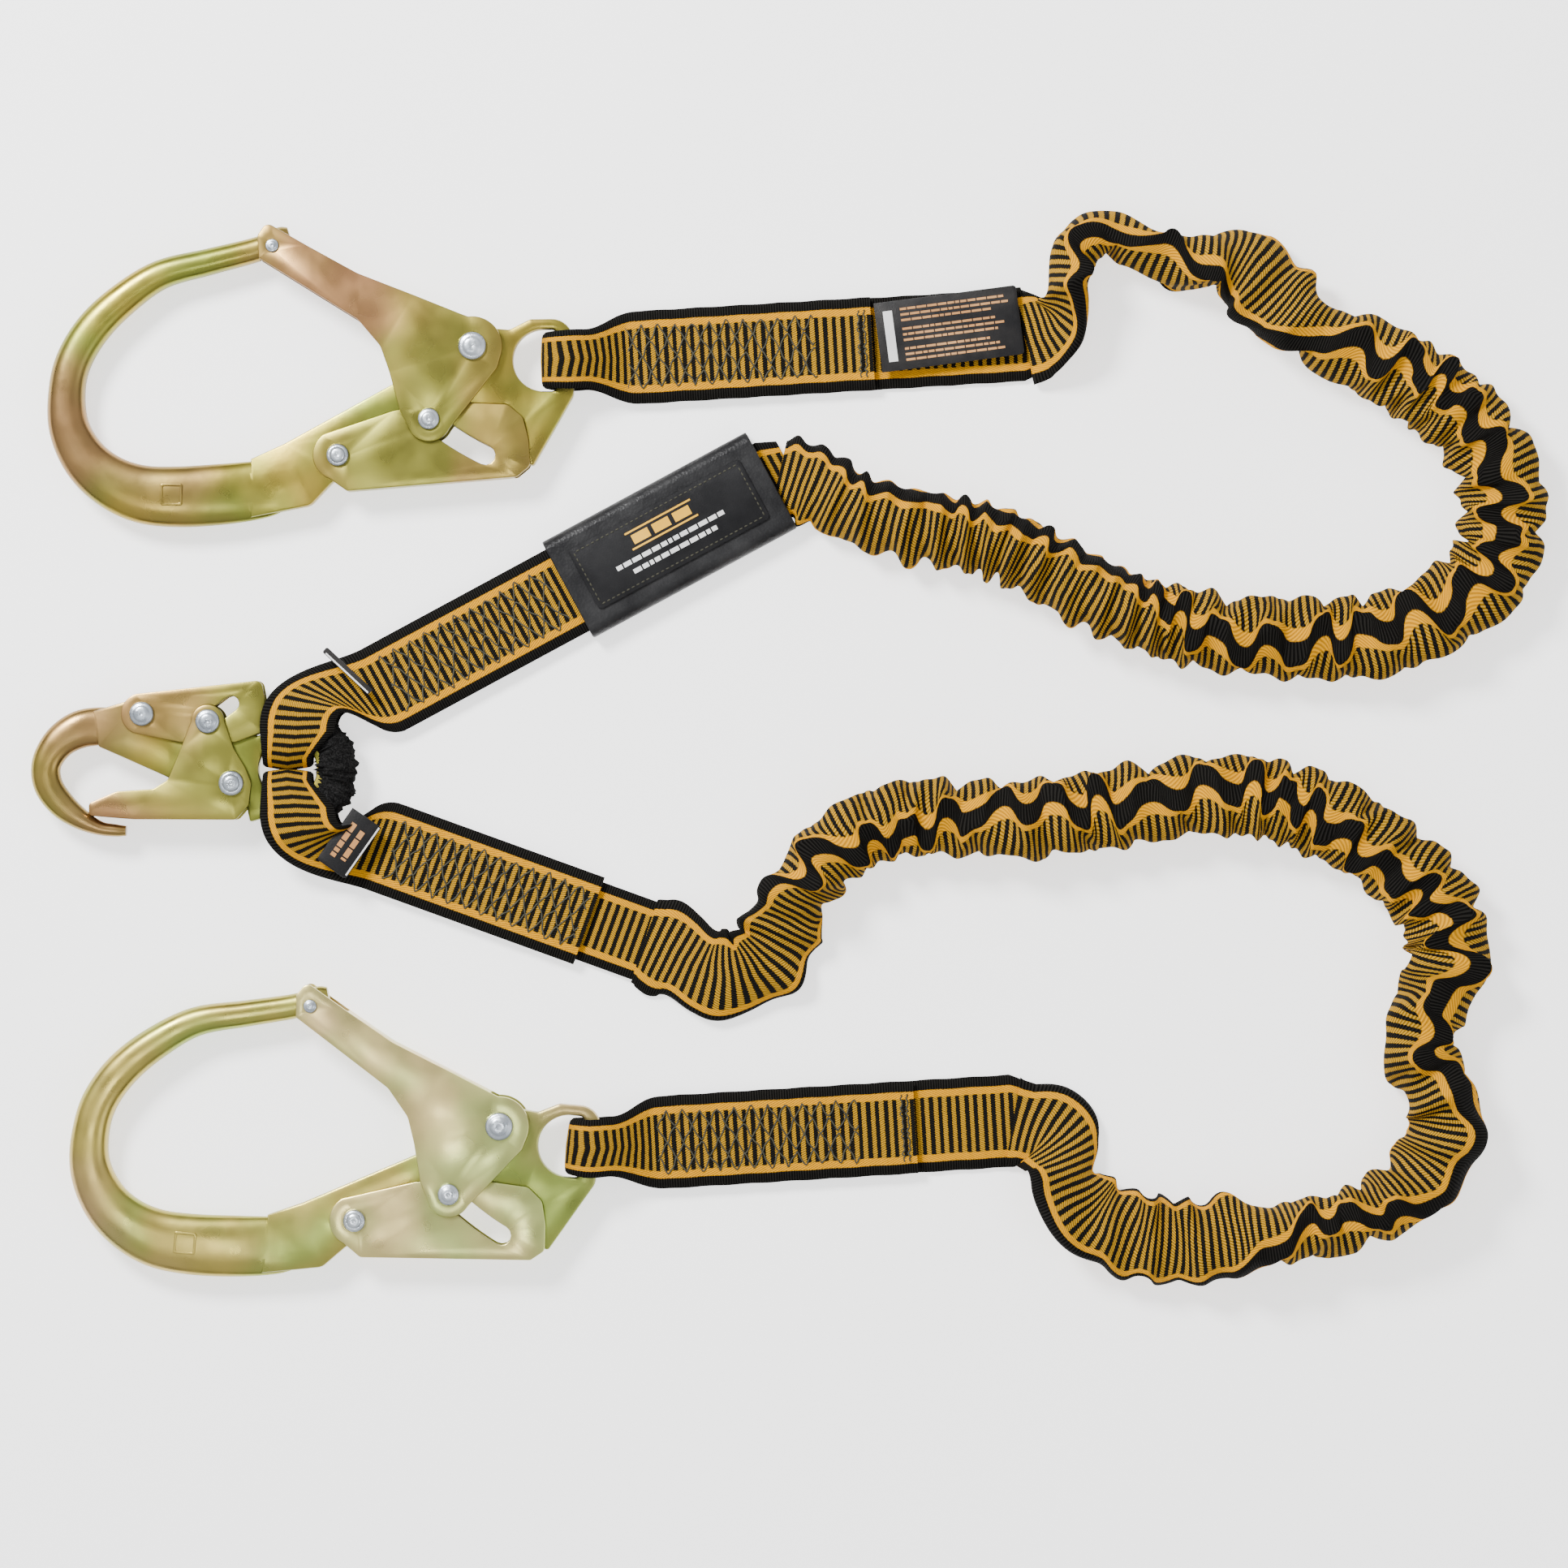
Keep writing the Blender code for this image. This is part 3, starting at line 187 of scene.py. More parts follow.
def smooth_line(points, per_span):
    """A smooth cubic curve through the points, with per_span steps between each two."""
    rows = [Vector(p) for p in points]
    rows = [rows[0] * 2 - rows[1], *rows, rows[-1] * 2 - rows[-2]]
    out = []
    for i in range(1, len(rows) - 2):
        a, b, c, d = rows[i - 1:i + 3]
        for k in range(per_span):
            t = k / per_span
            out.append(0.5 * (2 * b + (c - a) * t + (2 * a - 5 * b + 4 * c - d) * t * t
                              + (3 * b - a - 3 * c + d) * t ** 3))
    out.append(rows[-2])
    return out


def even_line(line, count):
    """The same line as count points at even distances."""
    reach = [0.0]
    for before, after in zip(line, line[1:]):
        reach.append(reach[-1] + (after - before).length)
    out = []
    k = 0
    for i in range(count):
        want = reach[-1] * i / (count - 1)
        while k < len(line) - 2 and reach[k + 1] < want:
            k += 1
        share = (want - reach[k]) / (reach[k + 1] - reach[k])
        out.append(line[k].lerp(line[k + 1], min(share, 1.0)))
    return out


def capsule(start, end, radius):
    """Outline of a slot with round ends."""
    angle = math.degrees(math.atan2(end[1] - start[1], end[0] - start[0]))
    return arc(end, radius, angle - 90, angle + 90, 8) + arc(start, radius, angle + 90, angle + 270, 8)


def circle(centre, radius, steps=16):
    return arc(centre, radius, 0, 360 - 360 / steps, steps - 1)


def heading(line, i):
    """The unit direction in the plane of a line of points at point i."""
    ahead = line[min(i + 1, len(line) - 1)]
    behind = line[max(i - 1, 0)]
    return Vector((ahead[0] - behind[0], ahead[1] - behind[1])).normalized()


def polar_slot(inner_path, radius):
    """Outline of a curved slot: a round tool of the given radius moved along the path."""
    left, right = [], []
    for i, point in enumerate(inner_path):
        along = heading(inner_path, i)
        left.append((point[0] - along[1] * radius, point[1] + along[0] * radius))
        right.append((point[0] + along[1] * radius, point[1] - along[0] * radius))
    first = math.degrees(math.atan2(left[0][1] - inner_path[0][1], left[0][0] - inner_path[0][0]))
    last = math.degrees(math.atan2(right[-1][1] - inner_path[-1][1], right[-1][0] - inner_path[-1][0]))
    return (right + arc(inner_path[-1], radius, last, last + 180, 6)[1:-1]
            + left[::-1] + arc(inner_path[0], radius, first, first + 180, 6)[1:-1])


def turned_about(point, centre, degrees):
    a = math.radians(degrees)
    dx, dy = point[0] - centre[0], point[1] - centre[1]
    return (centre[0] + dx * math.cos(a) - dy * math.sin(a), centre[1] + dx * math.sin(a) + dy * math.cos(a))


def pin_path(pin, lever_pivot, gate_travel, lever_travel):
    """Where the lock pin runs, seen from the turning lever, with SLOT_SPARE of the run at both ends."""
    out = []
    for k in range(SLOT_STEPS + 1):
        t = -SLOT_SPARE + (1 + 2 * SLOT_SPARE) * k / SLOT_STEPS
        moved = turned_about(pin, (0, 0), gate_travel * t)
        out.append(turned_about(moved, lever_pivot, -lever_travel * t))
    return out


def direction(turn):
    return Vector((math.cos(math.radians(turn)), math.sin(math.radians(turn)), 0))


def to_left(along):
    return Vector((-along[1], along[0], 0))


def eased(value):
    """0 to 1 with a soft start and end, and held outside them."""
    value = min(1.0, max(0.0, value))
    return value * value * (3 - 2 * value)


# ---- making objects ------------------------------------------------------------------------------
MM = 0.001
SHIFT = Vector(FRAME_SHIFT)


def placed(at, turn=0.0):
    """The matrix of something drawn at its own origin, then turned about Z and put at a place."""
    return Matrix.Translation(Vector(at) + SHIFT) @ Matrix.Rotation(math.radians(turn), 4, "Z")


def shifted(place, at):
    """The same place with its origin moved to a point of the drawing."""
    return place @ Matrix.Translation((*at, 0))


def world(points):
    """Millimetres in the layout's own frame to metres in the row frame."""
    return [tuple((Vector(p) + SHIFT) * MM) for p in points]


def at_place(place, points):
    """Points drawn at an origin, in millimetres, to metres at their place in the row frame."""
    return [tuple((place @ Vector(p)) * MM) for p in points]


def linked(name, data):
    """A new object with this data, in the scene."""
    obj = bpy.data.objects.new(name, data)
    bpy.context.scene.collection.objects.link(obj)
    return obj


def new_object(name, verts, faces, mat, body, stands_for=(), uv=None, sharp=40):
    """A mesh piece in the row frame that rides on a body; uv holds one pair for each vertex."""
    mesh = bpy.data.meshes.new(name)
    mesh.from_pydata([tuple(v) for v in verts], [], [tuple(f) for f in faces])
    if uv is not None:
        layer = mesh.uv_layers.new(name="web")
        corner = np.empty(len(mesh.loops), dtype=np.int32)
        mesh.loops.foreach_get("vertex_index", corner)
        layer.data.foreach_set("uv", np.asarray(uv, dtype=np.float32)[corner].ravel())
    mesh.materials.append(mat)
    mesh.shade_smooth()
    mesh.set_sharp_from_angle(angle=math.radians(sharp))
    obj = linked(name, mesh)
    settle(obj, body, stands_for)
    return obj


def settle(obj, body, stands_for=()):
    """Ride on a body, and hide the nodes that this piece stands for; body is None for a piece that rides on
    none.
    """
    if body:
        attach(obj, body)
    if stands_for:
        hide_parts(*stands_for)


def tube_faces(rings, columns):
    """Faces of a grid of rings joined into a tube, capped at both ends."""
    faces = []
    for i in range(rings - 1):
        for j in range(columns):
            k = (j + 1) % columns
            faces.append((i * columns + j, i * columns + k, (i + 1) * columns + k, (i + 1) * columns + j))
    faces.append(tuple(range(columns - 1, -1, -1)))
    faces.append(tuple(range((rings - 1) * columns, rings * columns)))
    return faces


def loop_area(loop):
    return sum(a[0] * b[1] - b[0] * a[1] for a, b in zip(loop, loop[1:] + loop[:1])) / 2


def without_repeats(loop):
    """The loop without points that all but coincide."""
    close = 0.08
    out = []
    for point in loop:
        if not out or math.dist(point, out[-1]) > close:
            out.append(tuple(point))
    if math.dist(out[0], out[-1]) < close:
        out.pop()
    return out


def offset_loop(loop, amount):
    """The loop moved sideways by amount, to its left."""
    out = []
    for i, point in enumerate(loop):
        here = Vector(point)
        back = (here - Vector(loop[i - 1])).normalized()
        ahead = (Vector(loop[(i + 1) % len(loop)]) - here).normalized()
        normal = Vector((-back.y, back.x)) + Vector((-ahead.y, ahead.x))
        normal.normalize()
        lean = max(0.6, normal.dot(Vector((-back.y, back.x))))
        out.append(tuple(here + normal * (amount / lean)))
    return out


def soft_plate(outline, low, high, edge, holes=()):
    """A plate with rounded edges: (inset, height) rings follow every loop, and both faces are filled."""
    bm = bmesh.new()
    profile = [(edge, low), (edge * 0.3, low + edge * 0.3), (0, low + edge), (0, high - edge),
               (edge * 0.3, high - edge * 0.3), (edge, high)]
    caps = ([], [])
    for number, loop in enumerate([outline, *holes]):
        loop = without_repeats(loop)
        way = 1 if loop_area(loop) > 0 else -1
        if number:
            way = -way
        rows = [[bm.verts.new((x, y, z)) for x, y in offset_loop(loop, inset * way)] for inset, z in profile]
        join_rows(bm, rows)
        count = len(loop)
        for cap, row in zip(caps, (rows[0], rows[-1])):
            cap.extend(bm.edges.get((row[i], row[(i + 1) % count])) for i in range(count))
    for cap in caps:
        bmesh.ops.triangle_fill(bm, use_beauty=True, edges=cap)
    bmesh.ops.recalc_face_normals(bm, faces=bm.faces)
    return bm


def raw(name, bm, place):
    """A bmesh in millimetres as an object in the row frame, before it rides on anything."""
    bmesh.ops.recalc_face_normals(bm, faces=bm.faces)
    bm.transform(Matrix.Scale(MM, 4) @ place)
    mesh = bpy.data.meshes.new(name)
    bm.to_mesh(mesh)
    bm.free()
    return linked(name, mesh)


def cut_piece(name, bm, place, cuts, mat, body, stands_for=()):
    """A piece from a bmesh in millimetres, with its (operation, object) cuts made and the tools removed."""
    obj = raw(name, bm, place)
    for operation, tool in cuts:
        modifier = obj.modifiers.new(operation, "BOOLEAN")
        modifier.operation = operation
        modifier.object = tool
        modifier.solver = "EXACT"
    evaluated = obj.evaluated_get(bpy.context.evaluated_depsgraph_get())
    mesh = bpy.data.meshes.new_from_object(evaluated)
    obj.modifiers.clear()
    obj.data = mesh
    for _, tool in cuts:
        bpy.data.objects.remove(tool, do_unlink=True)
    mesh.materials.clear()
    mesh.materials.append(mat)
    mesh.shade_smooth()
    mesh.set_sharp_from_angle(angle=math.radians(35))
    settle(obj, body, stands_for)


# ---- materials -----------------------------------------------------------------------------------
class Paint:
    """A short way to build a node material."""

    def __init__(self, name):
        self.mat = bpy.data.materials.new(name)
        self.mat.use_nodes = True
        self.tree = self.mat.node_tree
        self.shader = self.tree.nodes["Principled BSDF"]

    def node(self, kind, **settings):
        made = self.tree.nodes.new(kind)
        for key, value in settings.items():
            setattr(made, key, value)
        return made

    def join(self, source, target):
        if isinstance(source, bpy.types.NodeSocket):
            self.tree.links.new(source, target)
        else:
            target.default_value = source

    def math(self, operation, a, b=0.0):
        made = self.node("ShaderNodeMath", operation=operation)
        for value, socket in zip((a, b, 0.0), made.inputs):
            self.join(value, socket)
        return made.outputs[0]

    def step(self, value, low, high, start=0.0, end=1.0):
        made = self.node("ShaderNodeMapRange", interpolation_type="SMOOTHSTEP")
        for value, socket in zip((value, low, high, start, end), made.inputs):
            self.join(value, socket)
        return made.outputs[0]

    def mix(self, share, a, b):
        made = self.node("ShaderNodeMix", data_type="RGBA")
        self.join(share, made.inputs[0])
        self.join(a, made.inputs[6])
        self.join(b, made.inputs[7])
        return made.outputs[2]

    def noise(self, scale, detail=3.0, rough=0.5, vector=None):
        made = self.node("ShaderNodeTexNoise")
        made.inputs["Scale"].default_value = scale
        made.inputs["Detail"].default_value = detail
        made.inputs["Roughness"].default_value = rough
        if vector is None:
            vector = self.node("ShaderNodeTexCoord").outputs["Object"]
        self.tree.links.new(vector, made.inputs["Vector"])
        return made.outputs["Fac"]

    def bump(self, height, distance, strength=1.0):
        made = self.node("ShaderNodeBump")
        made.inputs["Strength"].default_value = strength
        made.inputs["Distance"].default_value = distance
        self.tree.links.new(height, made.inputs["Height"])
        self.tree.links.new(made.outputs[0], self.shader.inputs["Normal"])

    def set(self, **values):
        for key, value in values.items():
            self.join(value, self.shader.inputs[key.replace("_", " ")])
        return self.mat


def zinc_steel(name, gold, olive, rose, grain):
    """Yellow-chromated zinc: gold that drifts to olive and rose, with a fine cast or rolled grain."""
    paint = Paint(name)
    first = paint.step(paint.noise(20, 2, 0.5), 0.38, 0.62)
    second = paint.step(paint.noise(13, 2, 0.5), 0.48, 0.72)
    colour = paint.mix(second, paint.mix(first, gold, olive), rose)
    cloud = paint.step(paint.noise(70, 2, 0.5), 0.40, 0.75, 0.0, 0.16)
    colour = paint.mix(cloud, colour, (0.14, 0.11, 0.04, 1))
    rough = paint.step(paint.noise(60, 2, 0.5), 0.3, 0.7, 0.26, 0.38)
    paint.bump(paint.noise(330, 1, 0.4), grain)
    return paint.set(Base_Color=colour, Metallic=0.93, Roughness=rough)


def bright_zinc(name):
    paint = Paint(name)
    cloud = paint.step(paint.noise(60, 3, 0.6), 0.35, 0.7)
    colour = paint.mix(cloud, (0.62, 0.67, 0.72, 1), (0.42, 0.47, 0.53, 1))
    paint.bump(paint.noise(900, 3, 0.6), 0.00008)
    rough = paint.step(paint.noise(300, 3), 0.3, 0.7, 0.22, 0.4)
    return paint.set(Base_Color=colour, Metallic=0.95, Roughness=rough)


def spring_wire(name):
    paint = Paint(name)
    colour = paint.mix(paint.noise(300, 3), (0.22, 0.22, 0.24, 1), (0.42, 0.42, 0.44, 1))
    paint.bump(paint.noise(2500, 2), 0.00004)
    return paint.set(Base_Color=colour, Metallic=0.95, Roughness=0.35)


BAR_PITCH = 3.85
BAR_SHARE = 0.54
BORDER_IN = 12.3
BORDER_OUT = 15.5
RIB_PITCH = 1.1


def webbing(name):
    """Woven polyester: bars across the middle, a plain yellow border and ribbed black edges, with painted
    light and shade on the yarns.
    """
    paint = Paint(name)
    spot = paint.node("ShaderNodeUVMap", uv_map="web").outputs[0]
    parts = paint.node("ShaderNodeSeparateXYZ")
    paint.join(spot, parts.inputs[0])
    along, across = parts.outputs[0], parts.outputs[1]
    wander = paint.math("SUBTRACT", paint.noise(0.9, 2, 0.5, spot), 0.5)
    out = paint.math("ABSOLUTE", paint.math("ADD", across, paint.math("MULTIPLY", wander, 0.5)))

    # woven steps along each bar's edges, one for each yarn across the width
    yarn = paint.math("FRACT", paint.math("DIVIDE", across, 1.15))
    tooth = paint.math("MULTIPLY", paint.math("ABSOLUTE", paint.math("SUBTRACT", yarn, 0.5)), 0.7)
    shifted_along = paint.math("ADD", paint.math("ADD", along, tooth), paint.math("MULTIPLY", wander, 0.5))
    bar = paint.math("FRACT", paint.math("DIVIDE", shifted_along, BAR_PITCH))
    dark = paint.math("MULTIPLY", paint.step(bar, 0.0, 0.05),
                      paint.step(bar, BAR_SHARE - 0.05, BAR_SHARE, 1.0, 0.0))
    middle = paint.step(out, BORDER_IN - 0.15, BORDER_IN + 0.25, 1.0, 0.0)
    edge = paint.step(out, BORDER_OUT - 0.25, BORDER_OUT + 0.25)
    black_share = paint.math("MAXIMUM", paint.math("MULTIPLY", dark, middle), edge)

    # yarn relief: diagonal twill in the middle, ribs across on the edges; it bumps the surface, and it also
    # paints light on the yarns' raised tops and shade in the grooves between them
    twill_at = paint.math("ADD", paint.math("DIVIDE", across, 0.95), paint.math("DIVIDE", along, 1.9))
    twill = paint.math("SINE", paint.math("MULTIPLY", twill_at, 2 * math.pi))
    rib = paint.math("SINE", paint.math("MULTIPLY", paint.math("DIVIDE", along, RIB_PITCH), 2 * math.pi))
    relief = paint.math("ADD", paint.math("MULTIPLY", twill, paint.math("SUBTRACT", 1.0, edge)),
                        paint.math("MULTIPLY", paint.math("MULTIPLY", rib, edge), 1.5))
    # painted light and shade: the colours below are lighter on the yarns' raised tops and darker in the
    # grooves, on the yellow, the dull middle yellow and the black alike
    painted_yarn_light = paint.step(relief, -1.1, 0.9)
    fluff = paint.noise(5.0, 3, 0.7, spot)
    yellow = paint.mix(painted_yarn_light, (0.42, 0.160, 0.0, 1), (0.84, 0.375, 0.0, 1))
    yellow = paint.mix(paint.step(fluff, 0.3, 0.75, 0.0, 0.35), yellow, (0.88, 0.44, 0.0, 1))
    dull = paint.mix(painted_yarn_light, (0.20, 0.100, 0.004, 1), (0.56, 0.300, 0.022, 1))
    yellow = paint.mix(middle, yellow, dull)
    black = paint.mix(painted_yarn_light, (0.0025, 0.0023, 0.002, 1), (0.014, 0.013, 0.0115, 1))
    colour = paint.mix(black_share, yellow, black)
    raised = paint.math("SUBTRACT", 1.0, paint.math("MULTIPLY", dark, middle))
    height = paint.math("ADD", paint.math("MULTIPLY", raised, 0.9), paint.math("MULTIPLY", relief, 0.32))
    paint.bump(paint.math("ADD", height, paint.math("MULTIPLY", fluff, 0.5)), 0.00032, 0.9)
    return paint.set(Base_Color=colour, Roughness=0.82, Specular_IOR_Level=0.04)


def coat(name, base, light, grain_scale, depth, roughness):
    """Coated cloth, printed tape, ink or paper: a pebbled grain, with worn, lighter patches here and there.
    """
    paint = Paint(name)
    cells = paint.node("ShaderNodeTexVoronoi")
    cells.inputs["Scale"].default_value = grain_scale
    paint.join(paint.node("ShaderNodeTexCoord").outputs["Object"], cells.inputs["Vector"])
    height = paint.math("ADD", cells.outputs["Distance"], paint.noise(grain_scale * 0.6, 3, 0.6))
    paint.bump(height, depth)
    shade = paint.step(paint.noise(38, 3, 0.6), 0.35, 0.7)
    rough = paint.step(paint.noise(260, 3), 0.3, 0.7, roughness - 0.06, roughness + 0.08)
    return paint.set(Base_Color=paint.mix(shade, (*base, 1), (*light, 1)), Roughness=rough,
                     Specular_IOR_Level=0.12)


def pile(name, dark, light):
    """Brushed pile or fuzzy pad cloth."""
    paint = Paint(name)
    fluff = paint.noise(1300, 5, 0.75)
    paint.bump(paint.math("ADD", fluff, paint.noise(330, 3, 0.6)), 0.0007)
    return paint.set(Base_Color=paint.mix(paint.step(fluff, 0.4, 0.72), dark, light), Roughness=0.95,
                     Specular_IOR_Level=0.05)


def thread(name, dark, light):
    paint = Paint(name)
    fibre = paint.noise(2600, 3, 0.7)
    paint.bump(fibre, 0.0001)
    return paint.set(Base_Color=paint.mix(fibre, dark, light), Roughness=0.7)


GOLD = (0.37, 0.275, 0.045, 1)
OLIVE = (0.225, 0.250, 0.040, 1)
ROSE = (0.37, 0.190, 0.085, 1)
MATS = {
    "forged": zinc_steel("forged_zinc", GOLD, OLIVE, (0.30, 0.175, 0.07, 1), 0.00003),
    "pressed": zinc_steel("pressed_zinc", (0.37, 0.265, 0.062, 1), (0.28, 0.265, 0.05, 1), ROSE, 0.000012),
    # painted reflection: the lower hook's two finishes are lighter copies of the forged and pressed zinc,
    # standing in for the bright light that its metal reflects
    "forged_painted_reflection": zinc_steel("forged_zinc_painted_reflection", (0.44, 0.35, 0.085, 1), (0.27, 0.34, 0.07, 1),
                              (0.50, 0.34, 0.16, 1), 0.00003),
    "pressed_painted_reflection": zinc_steel("pressed_zinc_painted_reflection", (0.68, 0.54, 0.23, 1), (0.48, 0.54, 0.18, 1),
                               (0.72, 0.46, 0.28, 1), 0.000012),
    "rivet": bright_zinc("bright_zinc"),
    "wire": spring_wire("spring_wire"),
    "webbing": webbing("woven_webbing"),
    "stitch": thread("dark_thread", (0.012, 0.014, 0.008, 1), (0.07, 0.065, 0.04, 1)),
    "pad": pile("pad_pile", (0.004, 0.004, 0.004, 1), (0.035, 0.034, 0.034, 1)),
    "tape": pile("closure_pile", (0.006, 0.006, 0.006, 1), (0.03, 0.03, 0.03, 1)),
    "vinyl": coat("cover_grain", (0.012, 0.012, 0.013), (0.030, 0.030, 0.031), 900, 0.00012, 0.38),
    "patch": coat("patch_cloth", (0.007, 0.007, 0.008), (0.015, 0.015, 0.016), 2200, 0.00006, 0.55),
    "tag": coat("tag_tape", (0.010, 0.010, 0.011), (0.030, 0.028, 0.027), 1800, 0.00005, 0.42),
    "ink_yellow": coat("ink_yellow", (0.80, 0.42, 0.02), (0.90, 0.50, 0.05), 1600, 0.00004, 0.5),
    "ink_white": coat("ink_white", (0.70, 0.70, 0.70), (0.82, 0.82, 0.81), 1600, 0.00004, 0.5),
    "ink_tan": coat("ink_tan", (0.46, 0.22, 0.08), (0.62, 0.33, 0.14), 1600, 0.00004, 0.5),
    "paper": coat("booklet_page", (0.66, 0.66, 0.63), (0.78, 0.78, 0.75), 700, 0.00003, 0.6),
}


# ---- hooks ---------------------------------------------------------------------------------------
BOW_SIDES = 28
BOW_SQUARENESS = 0.8          # 1 is an ellipse, and less is squarer


def bow(stations):
    """A forged bar: a rounded section swept in the plane along (x, y, half width, half thickness)."""
    line = smooth_line(stations, 6)
    rings = []
    for i, point in enumerate(line):
        along = heading(line, i)
        ring = []
        for k in range(BOW_SIDES):
            a = 2 * math.pi * (k + 0.5) / BOW_SIDES
            across = math.copysign(abs(math.cos(a)) ** BOW_SQUARENESS, math.cos(a)) * point[2]
            up = math.copysign(abs(math.sin(a)) ** BOW_SQUARENESS, math.sin(a)) * point[3]
            ring.append((point[0] - along[1] * across, point[1] + along[0] * across, up))
        rings.append(ring)
    return skin(rings)


def turned_piece(name, profile, place, mat, body, stands_for):
    """A round piece about its own Z from (radius, z) points, first and last on the axis."""
    steps = 40
    verts, faces = [(0, 0, profile[0][1]), (0, 0, profile[-1][1])], []
    inner = profile[1:-1]
    for k in range(steps):
        a = 2 * math.pi * k / steps
        verts += [(r * math.cos(a), r * math.sin(a), z) for r, z in inner]
    count = len(inner)
    for k in range(steps):
        first, second = 2 + k * count, 2 + (k + 1) % steps * count
        faces.append((0, second, first))
        faces.append((1, first + count - 1, second + count - 1))
        faces += [(first + i, second + i, second + i + 1, first + i + 1) for i in range(count - 1)]
    new_object(name, at_place(place, verts), faces, mat, body, stands_for, sharp=50)


def rivet(name, place, body, shank, head, under, top):
    """A peened rivet: shank, domed heads with a struck ring and a shallow centre dimple."""
    rise = top - under
    half = [(shank, under), (head * 0.97, under), (head, under + rise * 0.16), (head, under + rise * 0.34),
            (head * 0.95, under + rise * 0.52), (head * 0.80, under + rise * 0.66),
            (head * 0.70, under + rise * 0.66), (head * 0.64, under + rise * 0.80),
            (head * 0.45, top - rise * 0.03), (head * 0.2, top - rise * 0.02),
            (head * 0.08, top - rise * 0.08)]
    profile = [(0, -top + 0.3)] + [(r, -z) for r, z in reversed(half)] + half + [(0, top - 0.3)]
    turned_piece(name + "_look", profile, place, MATS["rivet"], body, [name])


COIL_TURNS = 2.5
COIL_LOW = -1.5               # the coil's lower end, in its pocket
COIL_STEPS = 36               # rings in one turn
WIRE_SIDES = 10


def coil(name, place, body, radius, wire):
    """A torsion spring's round wire, wound about Z, with finer rings than its solid."""
    steps = int(COIL_TURNS * COIL_STEPS)
    pitch = wire * 2 + 0.35
    verts = []
    for k in range(steps + 1):
        a = 2 * math.pi * k / COIL_STEPS
        out = Vector((math.cos(a), math.sin(a), 0))
        centre = out * radius + Vector((0, 0, COIL_LOW + wire + pitch * k / COIL_STEPS))
        for s in range(WIRE_SIDES):
            b = 2 * math.pi * s / WIRE_SIDES
            verts.append(centre + out * wire * math.cos(b) + Vector((0, 0, wire * math.sin(b))))
    new_object(name + "_look", at_place(place, verts), tube_faces(steps + 1, WIRE_SIDES), MATS["wire"], body,
               [name], sharp=80)


def channel(name, outline, cavity, inner, outer, place, mat, body, holes):
    """A folded sheet-metal channel with rounded edges."""
    space = raw(name + "_space", soft_plate(cavity, -inner, inner, edge=0.3), place)
    cut_piece(name + "_look", soft_plate(outline, -outer, outer, 0.55, holes), place,
              [("DIFFERENCE", space)], mat, body, [name])


def round_tool(radius, low, high, at, place):
    return raw("round_tool", soft_plate(circle((0, 0), radius, 40), low, high, edge=0.2), shifted(place, at))


NOTCH_LENGTH = 16
NOTCH_RADIUS = 2.5
POCKET_FLOOR = -1.8           # the spring pockets reach just below the hook's middle plane


def hook_body(prefix, outline, eye, stations, tip, pockets, place, mat, body):
    """The forged body: a flat plate with the eye, joined to the swept bow, with its pin holes and pockets."""
    cuts = [("UNION", raw("bow_tool", bow(stations), place))]
    if tip:
        notch_end = (tip[0] - 0.449 * NOTCH_LENGTH, tip[1] - 0.894 * NOTCH_LENGTH)
        notch = soft_plate(capsule(tip, notch_end, NOTCH_RADIUS), -THROUGH, THROUGH, edge=0.2)
        cuts.append(("DIFFERENCE", raw("notch_tool", notch, place)))
    for at, shank, pocket in pockets:
        cuts.append(("DIFFERENCE", round_tool(shank, -THROUGH, THROUGH, at, place)))
        cuts.append(("DIFFERENCE", round_tool(pocket, POCKET_FLOOR, THROUGH, at, place)))
    cut_piece(prefix + "_body_look", soft_plate(outline, -BODY_HALF, BODY_HALF, 1.0, [eye]), place, cuts, mat,
              body, [prefix + "_body"])


def stamped_square(name, at, size, height, place, mat, body):
    """A small raised rim, square and plain, as forged into the bow."""
    half = size / 2
    rim = rounded([(-half, -half, 1), (half, -half, 1), (half, half, 1), (-half, half, 1)], 4)
    bm = soft_plate(rim, height - 1.2, height, 0.25, [scaled(rim, 0.78)])
    cut_piece(name, bm, shifted(place, at), [], mat, body)


